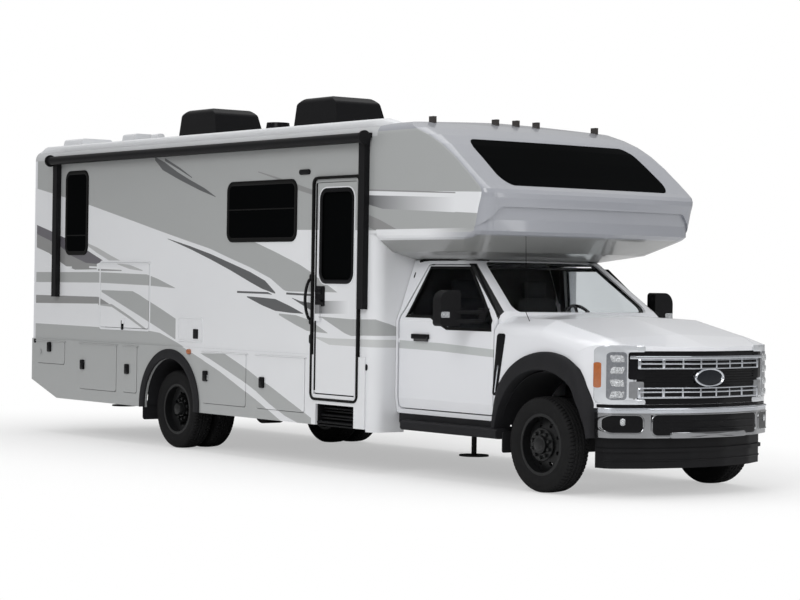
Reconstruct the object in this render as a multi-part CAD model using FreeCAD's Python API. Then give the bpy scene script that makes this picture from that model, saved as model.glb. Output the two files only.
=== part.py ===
import FreeCAD, Part
import math
import os
from FreeCAD import Vector

# A cab-over-bunk motorhome on a medium-duty truck chassis, in millimetres.
# +X is forward, +Y is to the vehicle's left, +Z is up.
# The origin is on the ground under the middle of the overall length, on the centre plane.

# Overall sizes
overall_length = 9700.0
mirror_half_span = 1385.0
wheelbase = 5650.0
front_overhang = 970.0
front_axle_x = overall_length / 2 - front_overhang
rear_axle_x = front_axle_x - wheelbase
fit_gap = 0.3
overrun = 40.0

# Tyres and rims
tyre_radius = 405.0
tyre_width = 225.0
tyre_shoulder_drop = 14.0
tyre_shoulder_width = 196.0
tyre_tread_width = 150.0
bead_radius = 248.0
bead_width = 168.0
sidewall_swell_share = 0.5
rim_barrel = 12.0
rim_flange_height = 14.0
rim_flange_width = 10.0
rim_disc = 12.0
rim_centre_radius = 100.0
rim_hand_hole_radius = 19.0
rim_hand_hole_circle = 172.0
rim_knee_radius = 203.0
rim_hand_holes = 8
lug_circle_radius = 112.5
lug_radius = 13.0
lug_height = 26.0
lug_count = 10
front_track_half = 955.0
rear_track_half = 940.0
dual_spacing = 272.0
front_disc_offset = 42.0
rear_disc_offset = 118.0
hub_radius = 74.0
rim_pilot_radius = 69.0
hub_length = 92.0
front_hub_nose = 58.0

# Chassis frame
rail_inner = 385.0
rail_outer = 432.0
rail_web = 8.0
rail_low = 560.0
rail_high = 770.0
rail_front_fore = 660.0
crossmember_width = 70.0
crossmember_height = 120.0
crossmember_stations = (520.0, -1480.0, -2250.0, -3500.0, -4700.0, -6450.0, -8100.0)
spacer_front_aft = 2180.0
spacer_rear_clear = 60.0

# Axles, springs and steering
axle_tube_radius = 62.0
axle_beam_low = 330.0
axle_beam_high = 440.0
axle_beam_half_depth = 50.0
kingpin_half = 815.0
kingpin_radius = 16.0
kingpin_fit = 0.05
yoke_length = 78.0
yoke_width = 70.0
yoke_ear = 26.0
knuckle_height = 150.0
knuckle_depth = 84.0
knuckle_width = 56.0
knuckle_gap = 6.0
spindle_radius = 30.0
steer_limit = 40.0
differential_radius = 175.0
differential_width = 210.0
pinion_length = 300.0
pinion_radius = 70.0
driveshaft_radius = 44.0
coil_radius = 52.0
coil_half = 492.0
leaf_half = 512.0
leaf_width = 72.0
leaf_thickness = 58.0
leaf_half_length = 640.0
leaf_rise = 110.0
hanger_thickness = 12.0

# Engine and gearbox, one plain block
engine_front_fore = 400.0
engine_rear_aft = 560.0
engine_half_width = 290.0
engine_low = 620.0
engine_high = 1240.0
gearbox_rear_aft = 1420.0
gearbox_half_width = 180.0
gearbox_low = 440.0
gearbox_high = 740.0

# Tanks and exhaust under the coach
tank_front_aft = 3120.0
tank_rear_aft = 4560.0
tank_inner = 80.0
tank_outer = 375.0
tank_low = 440.0
tank_high = 642.0
tank_strap = 28.0
exhaust_radius = 45.0
exhaust_half = 250.0
exhaust_height = 540.0
exhaust_rear_aft = 8300.0
muffler_radius = 105.0
muffler_front_aft = 2700.0
muffler_rear_aft = 3400.0

# Cab of the truck
cab_front_aft = 640.0
cab_rear_aft = 2094.0
cab_low = 560.0
cab_wall = 55.0
cab_floor_low = 770.0
cab_floor = 60.0
cab_tunnel_half = 740.0
cab_belt = 1400.0
cab_half_width = 1010.0
cab_roof = 1995.0
header_aft = 1290.0
header_z = 1968.0
cowl_z = 1500.0
roof_rear_aft = 1880.0
belt_rear_aft = 2080.0
windshield_low = 1507.0
windshield_high = 1945.0
windshield_low_half = 800.0
windshield_high_half = 655.0
glass_inset = 18.0
glass_thickness = 6.0

# Cab doors
door_front_aft = 690.0
door_rear_aft = 2040.0
door_low = 612.0
door_pillar_z = 1465.0
door_top_front_aft = 1270.0
door_top_rear_aft = 1850.0
door_top_z = 1912.0
door_gap = 11.0
door_rear_gap = 13.0
door_skin_to_hinge = 10.0
door_hinge_inset = 12.0
door_open_limit = 68.0
door_swing_gap = 12.0
pane_front_aft = 735.0
pane_sill_front = 1348.0
pane_sill_rear = 1448.0
pane_step_front_aft = 1350.0
pane_step_rear_aft = 1600.0
pane_rear_aft = 1955.0
pane_top_front_aft = 1248.0
pane_top_rear_aft = 1820.0
pane_top_z = 1888.0

# Mirrors on long arms
mirror_height = 315.0
mirror_width = 225.0
mirror_depth = 110.0
mirror_low = 1375.0
mirror_aft = 960.0
mirror_arm_radius = 17.0
mirror_arm_low = 1420.0
mirror_arm_high = 1500.0
mirror_foot = 60.0

# Front clip: fenders, bonnet, grille and lamps
clip_skin = 25.0
clip_low = 560.0
clip_nose_fore = 815.0
clip_nose_z = 1245.0
clip_crown_fore = 330.0
clip_crown_z = 1462.0
clip_shoulder_z = 1385.0
clip_corner_radius = 260.0
clip_front_half = 985.0
bonnet_half = 835.0
bonnet_gap = 6.0
bonnet_rear_aft = 588.0
bonnet_split_z = 1200.0
bonnet_rear_gap = 13.0
bonnet_hinge_aft = 700.0
bonnet_hinge_z = 1470.0
bonnet_open_limit = 50.0
front_arch_radius = 640.0
lamp_inner_half = 712.0
lamp_rear_fore = 566.0
lamp_low = 785.0
lamp_high = 1215.0
lamp_gap = 0.0
support_fore = 520.0
support_thickness = 40.0
support_low = 700.0
support_high = 1190.0

# Grille
grille_half = 705.0
grille_low = 845.0
grille_high = 1195.0
grille_face_fore = 905.0
grille_side_fore = 760.0
grille_depth = 70.0
grille_frame = 26.0
grille_band_low = 935.0
grille_band_high = 1105.0
grille_bar = 12.0
grille_columns = 7
grille_backing = 10.0

# Front bumper and air dam
bumper_half = 950.0
bumper_end_fore = 600.0
bumper_side_fore = 790.0
bumper_low = 500.0
bumper_high = 742.0
bumper_wall = 34.0
bumper_opening_half = 610.0
bumper_opening_low = 560.0
bumper_opening_high = 690.0
fog_inner = 690.0
fog_outer = 880.0
fog_low = 578.0
fog_high = 690.0
dam_half = 930.0
dam_low = 245.0
dam_end_fore = 578.0
dam_front_fore = 880.0
dam_wall = 30.0
dam_ledge_z = 380.0
dam_ledge_out = 14.0

# Wheel arch flares and mud flaps
front_flare_inner = 625.0
front_flare_outer = 765.0
front_flare_proud = 62.0
front_flare_low = 590.0
rear_flare_inner = 492.0
rear_flare_outer = 590.0
rear_flare_proud = 24.0
rear_flare_centre_z = 440.0
flap_low = 270.0
flap_high = 470.0
flap_inner = 700.0
flap_thickness = 12.0
flap_aft_of_axle = 500.0
front_flap_low = 300.0
front_flap_inner = 880.0
front_flap_outer = 1040.0

# Running boards
board_front_aft = 520.0
board_rear_aft = 1880.0
board_inner = 962.0
board_outer = 1112.0
board_low = 418.0
board_high = 505.0
board_corner = 28.0
board_riser = 60.0

# Coach body
coach_front_aft = 2100.0
coach_half_width = 1250.0
coach_wall = 50.0
coach_rear_x = -overall_length / 2 + 40.0
floor_low = 990.0
floor_high = 1060.0
belt_z = 1045.0
roof_edge_z = 3188.0
roof_crown_z = 3250.0
roof_corner_radius = 100.0
wall_top_z = 3080.0
nose_face_aft = 400.0
nose_corner_radius = 300.0
nose_brow_z = 2490.0
nose_break_aft = 1480.0
nose_low_z = 2150.0
nose_bottom_aft = 1255.0
nose_bottom_z = 1982.0
bunk_low_z = 2012.0
bunk_low_aft = 1460.0
bunk_side_z = 2190.0
bunk_flat_half = 830.0
cap_split_aft = 1760.0
crease_low_aft = 660.0
crease_low_z = 2560.0
crease_high_aft = 1420.0
passage_half = 380.0
passage_high = 1900.0

# Coach window openings: aft of the front axle from, to, low, high, corner radius
window_corner = 55.0
right_windows = ((7455.0, 7945.0, 2020.0, 2930.0), (3385.0, 4595.0, 2140.0, 2715.0))
left_windows = ((3385.0, 4595.0, 2140.0, 2715.0), (5600.0, 6360.0, 2140.0, 2715.0))
nose_pane_low_z = 2600.0
nose_pane_high_z = 3030.0
nose_pane_low_half = 990.0
nose_pane_high_half = 965.0
nose_pane_corner = 110.0

# Entry door
entry_front_aft = 2362.0
entry_rear_aft = 3040.0
entry_low = 695.0
entry_high = 2680.0
entry_gap = 6.0
entry_thickness = 42.0
entry_hinge_out = 12.0
entry_barrel_radius = 8.0
entry_open_limit = 150.0
entry_pane_margin = 66.0
entry_pane_low = 1735.0
entry_pane_top_margin = 62.0
entry_pane_corner = 70.0
step_well_depth = 560.0
step_well_wall = 20.0
step_tread_z = 880.0
step_tread_depth = 270.0
step_unit_low = 405.0
step_unit_high = 600.0
step_unit_depth = 420.0
grab_low = 1385.0
grab_high = 1775.0
grab_aft = 3118.0
grab_radius = 15.0
grab_out = 70.0

# Skirts under the floor, with lockers behind hinged doors
skirt_half_width = 1265.0
skirt_thickness = 25.0
skirt_low = 402.0
skirt_rear_kick_z = 592.0
skirt_rear_kick_aft = 8090.0
locker_gap = 5.0
locker_wall = 12.0
locker_depth = 450.0
locker_corner = 30.0
locker_hinge_out = 6.0
locker_barrel_radius = 5.0
hinge_lug_length = 26.0
locker_open_limit = 88.0
kitchen_depth = 480.0

# Locker doors: name, side, aft of the front axle from, to, low, high
right_lockers = (
    ("locker_door_right_front", 3180.0, 4010.0, 500.0, 1030.0),
    ("locker_door_right_middle", 4200.0, 4995.0, 500.0, 1030.0),
    ("locker_door_right_narrow", 6315.0, 6600.0, 535.0, 1040.0),
    ("locker_door_right_rear", 6750.0, 7560.0, 530.0, 1040.0),
    ("locker_door_right_corner", 7910.0, 8555.0, 780.0, 1040.0),
)
left_lockers = (
    ("locker_door_left_front", 3180.0, 4010.0, 500.0, 1030.0),
    ("locker_door_left_rear", 6750.0, 7560.0, 530.0, 1040.0),
)
kitchen_front_aft = 6110.0
kitchen_rear_aft = 7146.0
kitchen_low = 1222.0
kitchen_high = 1922.0

# Awning along the right wall
awning_front_aft = 2180.0
awning_rear_aft = 8200.0
awning_tube_radius = 47.0
awning_tube_z = 3065.0
awning_tube_out = 82.0
awning_arm_width = 92.0
awning_arm_depth = 60.0
awning_arm_out = 28.0
awning_arm_low = 1500.0
awning_head_radius = 66.0
awning_outer = 1384.0
awning_rail = 22.0

# Roof fittings
cooler_length = 800.0
cooler_half_width = 330.0
cooler_high = 3634.0
cooler_low = 3236.0
cooler_front_aft = 4030.0
cooler_second_aft = 6300.0
cooler_tail_drop = 60.0
dome_radius = 150.0
dome_aft = 5590.0
dome_high = 3440.0
vent_places = ((8300.0, 790.0, 215.0, 3334.0), (7770.0, 450.0, 140.0, 3391.0), (7240.0, 500.0, 70.0, 3370.0))
marker_stations = (-975.0, -245.0, 0.0, 245.0, 975.0)
marker_aft = 1640.0
marker_length = 70.0
marker_width = 34.0
marker_height = 24.0

# Rear of the coach
rear_bumper_low = 600.0
rear_bumper_high = 760.0
rear_bumper_depth = 150.0
rear_bumper_half = 1225.0
tail_lamp_low = 1180.0
tail_lamp_high = 1560.0
tail_lamp_inner = 1060.0
tail_lamp_outer = 1180.0
tail_lamp_proud = 16.0
receiver_inner = 25.4
receiver_wall = 6.35
receiver_length = 300.0
receiver_z = 500.0
receiver_pin_radius = 8.0
receiver_pin_inset = 60.0
receiver_bar = 60.0

# Levelling jacks
jack_radius = 38.0
jack_rod_radius = 24.0
jack_rod_fit = 0.5
jack_foot_radius = 135.0
jack_foot_thickness = 14.0
jack_front_aft = 1490.0
jack_rear_aft = 7800.0
jack_half = 560.0
jack_foot_low_front = 188.0
jack_foot_low_rear = 312.0
jack_body_low = 400.0
jack_rod_inside = 340.0
jack_bore_spare = 15.0

# Cab interior
seat_half = 420.0
seat_width = 520.0
seat_front_aft = 1300.0
seat_cushion_low = 1010.0
seat_cushion_high = 1150.0
seat_length = 480.0
seat_back_thickness = 130.0
seat_back_high = 1700.0
seat_base_inset = 70.0
dash_low = 1120.0
dash_high = 1470.0
dash_depth = 300.0
dash_half = 930.0
wheel_rim_radius = 195.0
wheel_rim_section = 15.0
wheel_hub_radius = 60.0
wheel_hub_length = 60.0
column_radius = 26.0
column_tilt = 28.0
column_drop = 60.0

# Lofted shapes: height, front aft of the axle, half width, corner radius, bulge, slant share
least_radius = 6.0
cab_levels = (
    (560.0, 640.0, 985.0, 20.0, 10.0, 1.0),
    (700.0, 640.0, 1010.0, 20.0, 10.0, 1.0),
    (1400.0, 640.0, 1010.0, 20.0, 10.0, 1.0),
    (1462.0, 650.0, 985.0, 120.0, 30.0, 1.0),
    (1512.0, 668.0, 960.0, 150.0, 60.0, 1.7),
    (1955.0, 1272.0, 800.0, 150.0, 80.0, 1.7),
    (1995.0, 1420.0, 640.0, 120.0, 60.0, 1.7),
)
nose_levels = (
    (1945.0, 1390.0, 720.0, 60.0, 40.0, 3.0),
    (2030.0, 930.0, 1060.0, 150.0, 100.0, 2.4),
    (2150.0, 660.0, 1225.0, 190.0, 110.0, 2.0),
    (2175.0, 612.0, 1240.0, 160.0, 110.0, 1.5),
    (2205.0, 580.0, 1250.0, 140.0, 110.0, 1.15),
    (2300.0, 555.0, 1250.0, 140.0, 105.0, 1.0),
    (2430.0, 528.0, 1250.0, 130.0, 95.0, 1.0),
    (2490.0, 512.0, 1250.0, 120.0, 80.0, 1.0),
    (2530.0, 514.0, 1250.0, 110.0, 70.0, 1.1),
    (2565.0, 540.0, 1250.0, 90.0, 55.0, 1.35),
    (2600.0, 592.0, 1250.0, 70.0, 30.0, 1.6),
    (2700.0, 724.0, 1250.0, 60.0, 20.0, 1.7),
    (2850.0, 926.0, 1250.0, 60.0, 20.0, 1.7),
    (2970.0, 1100.0, 1250.0, 80.0, 30.0, 1.75),
    (3060.0, 1262.0, 1250.0, 110.0, 60.0, 2.1),
    (3130.0, 1430.0, 1250.0, 150.0, 90.0, 2.6),
    (3190.0, 1630.0, 1250.0, 180.0, 100.0, 3.0),
    (3235.0, 1860.0, 1250.0, 200.0, 100.0, 3.2),
    (3262.0, 2060.0, 1250.0, 200.0, 80.0, 3.2),
)
nose_recess = 26.0
nose_recess_low = 2235.0
nose_recess_high = 2412.0
nose_recess_high_half = 1075.0
nose_recess_corner = 60.0
nose_recess_reach_aft = 1100.0
clip_rear_aft = 679.0
clip_shoulder_run = 190.0
clip_crown_share = 0.72
clip_bumper_fore = 532.0
clip_stations = ((-740.0, 1392.0, 1506.0), (-70.0, 1368.0, 1486.0), (560.0, 1240.0, 1345.0), (960.0, 1150.0, 1232.0))
clip_plan_points = ((440.0, 1010.0, 300.0), (690.0, 905.0, 170.0), (790.0, 700.0, 90.0), (905.0, 150.0, 600.0))
bonnet_points = ((480.0, 815.0, 200.0), (1000.0, 600.0, 0.0))

# Openings, seats and small fittings
door_corner_radius = 45.0
pane_corner_radius = 28.0
pane_front_high = 1425.0
cab_door_reach = 500.0
cab_hinge_pillar_half = 960.0
cab_belly_half = 740.0
windshield_corner = 50.0
windshield_reach_aft = 1330.0
handle_aft = 1705.0
handle_length = 190.0
handle_height = 42.0
handle_z = 1243.0
handle_proud = 22.0
striker_height = 40.0
striker_outer = 1002.0
bonnet_rest_half = 30.0
mirror_corner = 34.0
mirror_outer_corner = 105.0
mirror_foot_aft = 850.0
mirror_foot_half = 985.0
bumper_points = ((540.0, 950.0, 0.0), (700.0, 925.0, 120.0), (872.0, 610.0, 400.0), (970.0, 220.0, 600.0))
bumper_bracket_fore = 760.0
dam_points = ((520.0, 905.0, 0.0), (660.0, 885.0, 110.0), (800.0, 600.0, 300.0), (890.0, 200.0, 500.0))
board_brackets = (700.0, 1600.0)
dash_rear_aft = 1010.0
column_length = 240.0
seat_corner = 40.0
seat_lean = 90.0
seat_head = 130.0
coach_corner_radius = 120.0
rear_wall_low = 592.0
front_wall_low = 378.0
front_foot_inner = 900.0
bunk_opening_low = 2080.0
bunk_opening_half = 1120.0
entry_corner = 40.0
entry_well_side = 10.0
entry_proud = 10.0
entry_latch_aft = 2930.0
entry_latch_width = 70.0
entry_latch_proud = 30.0
entry_latch_low = 1380.0
entry_latch_height = 150.0
nose_wall = 45.0
nose_pane_reach_aft = 1700.0
nose_glass_inset = 2.0
nose_glass_thickness = 10.0
window_proud = 6.0
skirt_top_z = 1060.0
step_unit_front_aft = 2390.0
step_unit_rear_aft = 3000.0
step_slats = 3
step_slat = 20.0
locker_door_proud = 4.0
latch_inset = 75.0
latch_half = 27.0
latch_proud = 12.0
awning_arm_step = 40.0
awning_arm_inset = 80.0
cooler_nose_run = 110.0
cooler_corner = 60.0
cooler_nose_drop = 60.0
dome_top_share = 0.8
vent_slope = 30.0
marker_top_z = 3265.0
marker_fall = 20.0
rear_bumper_corner = 20.0
tail_lamp_corner = 20.0
receiver_inset = 15.0
grille_recess = 12.0


def aft(distance):
    """X of a station that far behind the front axle."""
    return front_axle_x - distance


def fore(distance):
    """X of a station that far ahead of the front axle."""
    return front_axle_x + distance


def block(x0, x1, y0, y1, z0, z1):
    """A box between two corners, given in any order."""
    low = Vector(min(x0, x1), min(y0, y1), min(z0, z1))
    return Part.makeBox(abs(x1 - x0), abs(y1 - y0), abs(z1 - z0), low)


def rounded_wire(corners, place):
    """A closed wire through corners (u, v, radius), each rounded by a tangent arc. place maps (u, v) to a point."""
    starts = []
    middles = []
    ends = []
    count = len(corners)
    for i, (u, v, radius) in enumerate(corners):
        before = corners[i - 1]
        after = corners[(i + 1) % count]
        here = Vector(u, v, 0)
        to_before = (Vector(before[0], before[1], 0) - here).normalize()
        to_after = (Vector(after[0], after[1], 0) - here).normalize()
        if radius <= 0:
            starts.append(here)
            ends.append(here)
            middles.append(None)
            continue
        half = to_before.getAngle(to_after) / 2
        reach = radius / math.tan(half)
        inward = (to_before + to_after).normalize()
        starts.append(here + to_before * reach)
        ends.append(here + to_after * reach)
        middles.append(here + inward * (radius / math.sin(half) - radius))
    edges = []
    for i in range(count):
        a = place(ends[i - 1].x, ends[i - 1].y)
        b = place(starts[i].x, starts[i].y)
        if a.distanceToPoint(b) > fit_gap / 10:
            edges.append(Part.makeLine(a, b))
        if middles[i] is not None:
            m = place(middles[i].x, middles[i].y)
            c = place(ends[i].x, ends[i].y)
            edges.append(Part.Arc(b, m, c).toShape())
    return Part.Wire(edges)


def slab_xz(corners, y0, y1):
    """An outline of (x, z, radius) corners, carried from y0 to y1."""
    wire = rounded_wire(corners, lambda u, v: Vector(u, min(y0, y1), v))
    return Part.Face(wire).extrude(Vector(0, abs(y1 - y0), 0))


def slab_xy(corners, z0, z1):
    """An outline of (x, y, radius) corners, carried from z0 to z1."""
    wire = rounded_wire(corners, lambda u, v: Vector(u, v, min(z0, z1)))
    return Part.Face(wire).extrude(Vector(0, 0, abs(z1 - z0)))


def slab_yz(corners, x0, x1):
    """An outline of (y, z, radius) corners, carried from x0 to x1."""
    wire = rounded_wire(corners, lambda u, v: Vector(min(x0, x1), u, v))
    return Part.Face(wire).extrude(Vector(abs(x1 - x0), 0, 0))


def frame_outline(u0, u1, v0, v1, radius):
    """The four corners of a rounded rectangle."""
    return [(u0, v0, radius), (u1, v0, radius), (u1, v1, radius), (u0, v1, radius)]


def rod(start, end, radius):
    """A round bar between two points."""
    along = end - start
    return Part.makeCylinder(radius, along.Length, start, along)


def disc_y(x, y0, y1, z, radius):
    """A cylinder about an axis along Y."""
    return rod(Vector(x, min(y0, y1), z), Vector(x, max(y0, y1), z), radius)


def across(shape):
    """The same shape on the other side of the centre plane."""
    return shape.mirror(Vector(0, 0, 0), Vector(0, 1, 0))


def both_sides(shape):
    """A shape and its twin across the centre plane, as one compound."""
    return Part.makeCompound([shape, across(shape)])


def joined(shapes):
    """One solid from touching or overlapping solids."""
    whole = shapes[0].fuse(shapes[1:])
    return whole.removeSplitter()


def spun(profile, x, y, z):
    """A closed (radius, offset) profile turned about an axis along Y through (x, y, z)."""
    points = [Vector(x + r, y + off, z) for r, off in profile]
    points.append(points[0])
    face = Part.Face(Part.makePolygon(points))
    turned = face.revolve(Vector(x, y, z), Vector(0, 1, 0), 360)
    return turned if turned.Volume > 0 else turned.reversed()


def save(name, shape):
    """Writes one node's solids to its STEP file."""
    solids = shape.Solids
    kept = Part.makeCompound(solids) if len(solids) > 1 else solids[0]
    kept.exportStep("parts/" + name + ".step")
    print(name, len(solids), [round(v) for v in (kept.BoundBox.XLength, kept.BoundBox.YLength, kept.BoundBox.ZLength)])


# Wheels

def tyre(x, y):
    """One road tyre: bead, swelling sidewall, rounded shoulder and flat tread, turned about the axle."""
    half = tyre_width / 2
    mid = bead_radius + (tyre_radius - bead_radius) * sidewall_swell_share
    seat = bead_radius + fit_gap
    shoulder = tyre_radius - tyre_shoulder_drop
    lip = bead_radius + rim_flange_height + fit_gap
    right = [(lip, bead_width / 2), (mid, half), (shoulder, tyre_shoulder_width / 2), (tyre_radius, tyre_tread_width / 2)]
    place = lambda u, v: Vector(x + u, y + v, tyre_radius)
    lower = [place(r, -w) for r, w in right]
    upper = [place(r, w) for r, w in right]
    side_low = Part.BSplineCurve()
    side_low.interpolate(lower)
    side_high = Part.BSplineCurve()
    side_high.interpolate(upper)
    bead_low = place(seat, -bead_width / 2)
    bead_high = place(seat, bead_width / 2)
    edges = [
        side_low.toShape(),
        Part.makeLine(lower[-1], upper[-1]),
        side_high.toShape(),
        Part.makeLine(upper[0], bead_high),
        Part.makeLine(bead_high, bead_low),
        Part.makeLine(bead_low, lower[0]),
    ]
    face = Part.Face(Part.Wire(Part.__sortEdges__(edges)))
    turned = face.revolve(Vector(x, y, tyre_radius), Vector(0, 1, 0), 360)
    return turned if turned.Volume > 0 else turned.reversed()


def rim(x, y, out, disc_offset):
    """A pressed steel rim: barrel with two flanges and a dished disc with hand holes. out is +1 or -1, where the disc faces."""
    half = bead_width / 2
    lip = half + rim_flange_width
    top = bead_radius + rim_flange_height
    bore = bead_radius - rim_barrel
    face_out = disc_offset + rim_disc
    profile = [
        (bore, -lip), (top, -lip), (top, -half - fit_gap), (bead_radius, -half - fit_gap),
        (bead_radius, half + fit_gap), (top, half + fit_gap), (top, lip), (bore, lip),
        (bore, rim_disc), (rim_knee_radius, rim_disc + rim_disc),
        (rim_centre_radius + lug_radius * 2, face_out), (rim_pilot_radius, face_out),
        (rim_pilot_radius, disc_offset), (rim_centre_radius + lug_radius, disc_offset),
        (rim_hand_hole_circle, 0), (bore, -rim_disc),
    ]
    shape = spun([(r, off * out) for r, off in profile], x, y, tyre_radius)
    holes = []
    for i in range(rim_hand_holes):
        angle = 2 * math.pi * (i + 0.5) / rim_hand_holes
        cx = x + rim_hand_hole_circle * math.cos(angle)
        cz = tyre_radius + rim_hand_hole_circle * math.sin(angle)
        holes.append(disc_y(cx, y - face_out * 2, y + face_out * 2, cz, rim_hand_hole_radius))
    return shape.cut(holes).Solids[0]


def lugs(x, y, out):
    """The ring of wheel nuts on the disc's face."""
    ring = []
    for i in range(lug_count):
        angle = 2 * math.pi * (i + 0.5) / lug_count
        cx = x + lug_circle_radius * math.cos(angle)
        cz = tyre_radius + lug_circle_radius * math.sin(angle)
        ring.append(disc_y(cx, y, y + out * lug_height, cz, lug_radius))
    return ring


def front_rim(side):
    """The front rim, its nuts and the hub nose. side is -1 on the right."""
    y = side * front_track_half
    face = y + side * (front_disc_offset + rim_disc)
    back = y + side * (front_disc_offset - hub_length)
    hub = disc_y(front_axle_x, back, face + side * front_hub_nose, tyre_radius, hub_radius)
    return joined([rim(front_axle_x, y, side, front_disc_offset), hub] + lugs(front_axle_x, face, side))


def half_twin_profile():
    """Half of the twin rims' (radius, offset) outline, from the hub's bore out over one barrel and back to the middle."""
    half = bead_width / 2
    lip = half + rim_flange_width
    top = bead_radius + rim_flange_height
    bore = bead_radius - rim_barrel
    middle = dual_spacing / 2
    return [
        (rim_pilot_radius, rim_disc), (rim_centre_radius + lug_radius, rim_disc), (rim_hand_hole_circle, middle),
        (bore, middle + rim_disc), (bore, middle + lip), (top, middle + lip), (top, middle + half + fit_gap),
        (bead_radius, middle + half + fit_gap), (bead_radius, middle - half - fit_gap),
        (top, middle - half - fit_gap), (top, middle - lip), (bore, middle - lip), (bore, middle - rim_disc),
        (rim_knee_radius, middle - rim_disc * 2), (rim_centre_radius + lug_radius * 2, 0),
    ]


def rear_rims(side):
    """The two rear rims, dished back to back and clamped on one hub."""
    near = half_twin_profile()
    far = [(r, -u) for r, u in reversed(near[:-1])]
    meet = side * rear_track_half
    shape = spun(near + far, rear_axle_x, meet, tyre_radius)
    hub = disc_y(rear_axle_x, meet - side * hub_length, meet + side * hub_length * 2, tyre_radius, hub_radius)
    holes = []
    for i in range(rim_hand_holes):
        angle = 2 * math.pi * (i + 0.5) / rim_hand_holes
        cx = rear_axle_x + rim_hand_hole_circle * math.cos(angle)
        cz = tyre_radius + rim_hand_hole_circle * math.sin(angle)
        holes.append(disc_y(cx, meet - dual_spacing, meet + dual_spacing, cz, rim_hand_hole_radius))
    return joined([shape.cut(holes).Solids[0], hub] + lugs(rear_axle_x, meet + side * rim_disc, side))


def wheels():
    """Tyres and rims of all four wheel positions, by node name."""
    made = {}
    for word, side in (("right", -1), ("left", 1)):
        made["front_tyre_" + word] = tyre(front_axle_x, side * front_track_half)
        made["front_rim_" + word] = front_rim(side)
        pair = [tyre(rear_axle_x, side * (rear_track_half + s * dual_spacing / 2)) for s in (-1, 1)]
        made["rear_tyres_" + word] = Part.makeCompound(pair)
        made["rear_rims_" + word] = rear_rims(side)
    return made


# Chassis

def channel_rail():
    """One frame rail: a C channel with its open side inward, on the right."""
    front = fore(rail_front_fore)
    rear = coach_rear_x + spacer_rear_clear
    solid = block(rear, front, -rail_outer, -rail_inner, rail_low, rail_high)
    hollow = block(rear - overrun, front + overrun, -rail_outer + rail_web, -rail_inner + overrun,
                   rail_low + rail_web, rail_high - rail_web)
    return solid.cut(hollow)


def jack_cylinder(x, foot_low):
    """The outer tube of one levelling jack with its bracket to the rail, on the right."""
    tube = rod(Vector(x, -jack_half, jack_body_low), Vector(x, -jack_half, rail_high), jack_radius)
    bore = rod(Vector(x, -jack_half, jack_body_low - overrun),
               Vector(x, -jack_half, jack_body_low + jack_rod_inside + jack_bore_spare), jack_rod_radius + jack_rod_fit)
    bracket = block(x - jack_radius, x + jack_radius, -jack_half, -rail_outer, rail_high - crossmember_height, rail_high)
    return tube.fuse(bracket).cut(bore)


def crossmember(station):
    """One beam between the rails, a fit gap short of each web."""
    x = fore(station)
    top = rail_high - rail_web
    half = rail_outer - rail_web - fit_gap
    return block(x - crossmember_width / 2, x + crossmember_width / 2, -half, half, top - crossmember_height, top)


def side_rail():
    """The right rail with its spacer under the floor, spring hangers, coil tower and jack tubes."""
    spacer = block(coach_rear_x + spacer_rear_clear, aft(spacer_front_aft), -rail_outer, -rail_inner,
                   rail_high, floor_low)
    pieces = [channel_rail(), spacer]
    for x, foot in ((aft(jack_front_aft), jack_foot_low_front), (aft(jack_rear_aft), jack_foot_low_rear)):
        pieces.append(jack_cylinder(x, foot))
    pieces.append(block(front_axle_x - coil_radius, front_axle_x + coil_radius, -rail_outer - coil_radius * 2,
                        -rail_outer, rail_high - rail_web * 4, rail_high))
    for end in (-1, 1):
        x = rear_axle_x + end * leaf_half_length
        pieces.append(block(x - hanger_thickness, x + hanger_thickness, -leaf_half - leaf_width / 2, -rail_outer,
                            rail_low - leaf_thickness, rail_low + leaf_thickness))
    return joined(pieces)


def chassis_frame():
    """Two rails, the crossmembers between them and the hitch under the rear."""
    rail = side_rail()
    beams = [crossmember(station) for station in crossmember_stations]
    return Part.makeCompound([rail, across(rail), hitch()] + beams)


def yoke():
    """The fork that holds one kingpin, on the right, with the kingpin fixed in it."""
    y = -kingpin_half
    tall = knuckle_height + knuckle_gap * 2 + yoke_ear * 2
    whole = block(front_axle_x - yoke_width / 2, front_axle_x + yoke_width / 2, y - yoke_width / 2, y + yoke_length,
                  tyre_radius - tall / 2, tyre_radius + tall / 2)
    gap = block(front_axle_x - yoke_width, front_axle_x + yoke_width, y - yoke_width, y + yoke_width / 2 + knuckle_gap,
                tyre_radius - tall / 2 + yoke_ear, tyre_radius + tall / 2 - yoke_ear)
    pin = rod(Vector(front_axle_x, y, tyre_radius - tall / 2), Vector(front_axle_x, y, tyre_radius + tall / 2),
              kingpin_radius)
    return whole.cut(gap).fuse(pin)


def front_axle():
    """A solid beam between two kingpin forks, with the coil springs standing on it."""
    beam_end = kingpin_half - yoke_length + overrun / 4
    beam = block(front_axle_x - axle_beam_half_depth, front_axle_x + axle_beam_half_depth, -beam_end, beam_end,
                 axle_beam_low, axle_beam_high)
    coil = rod(Vector(front_axle_x, -coil_half, axle_beam_high), Vector(front_axle_x, -coil_half, rail_high - rail_web * 4),
               coil_radius)
    fork = yoke()
    return joined([beam, coil, across(coil), fork, across(fork)])


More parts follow.
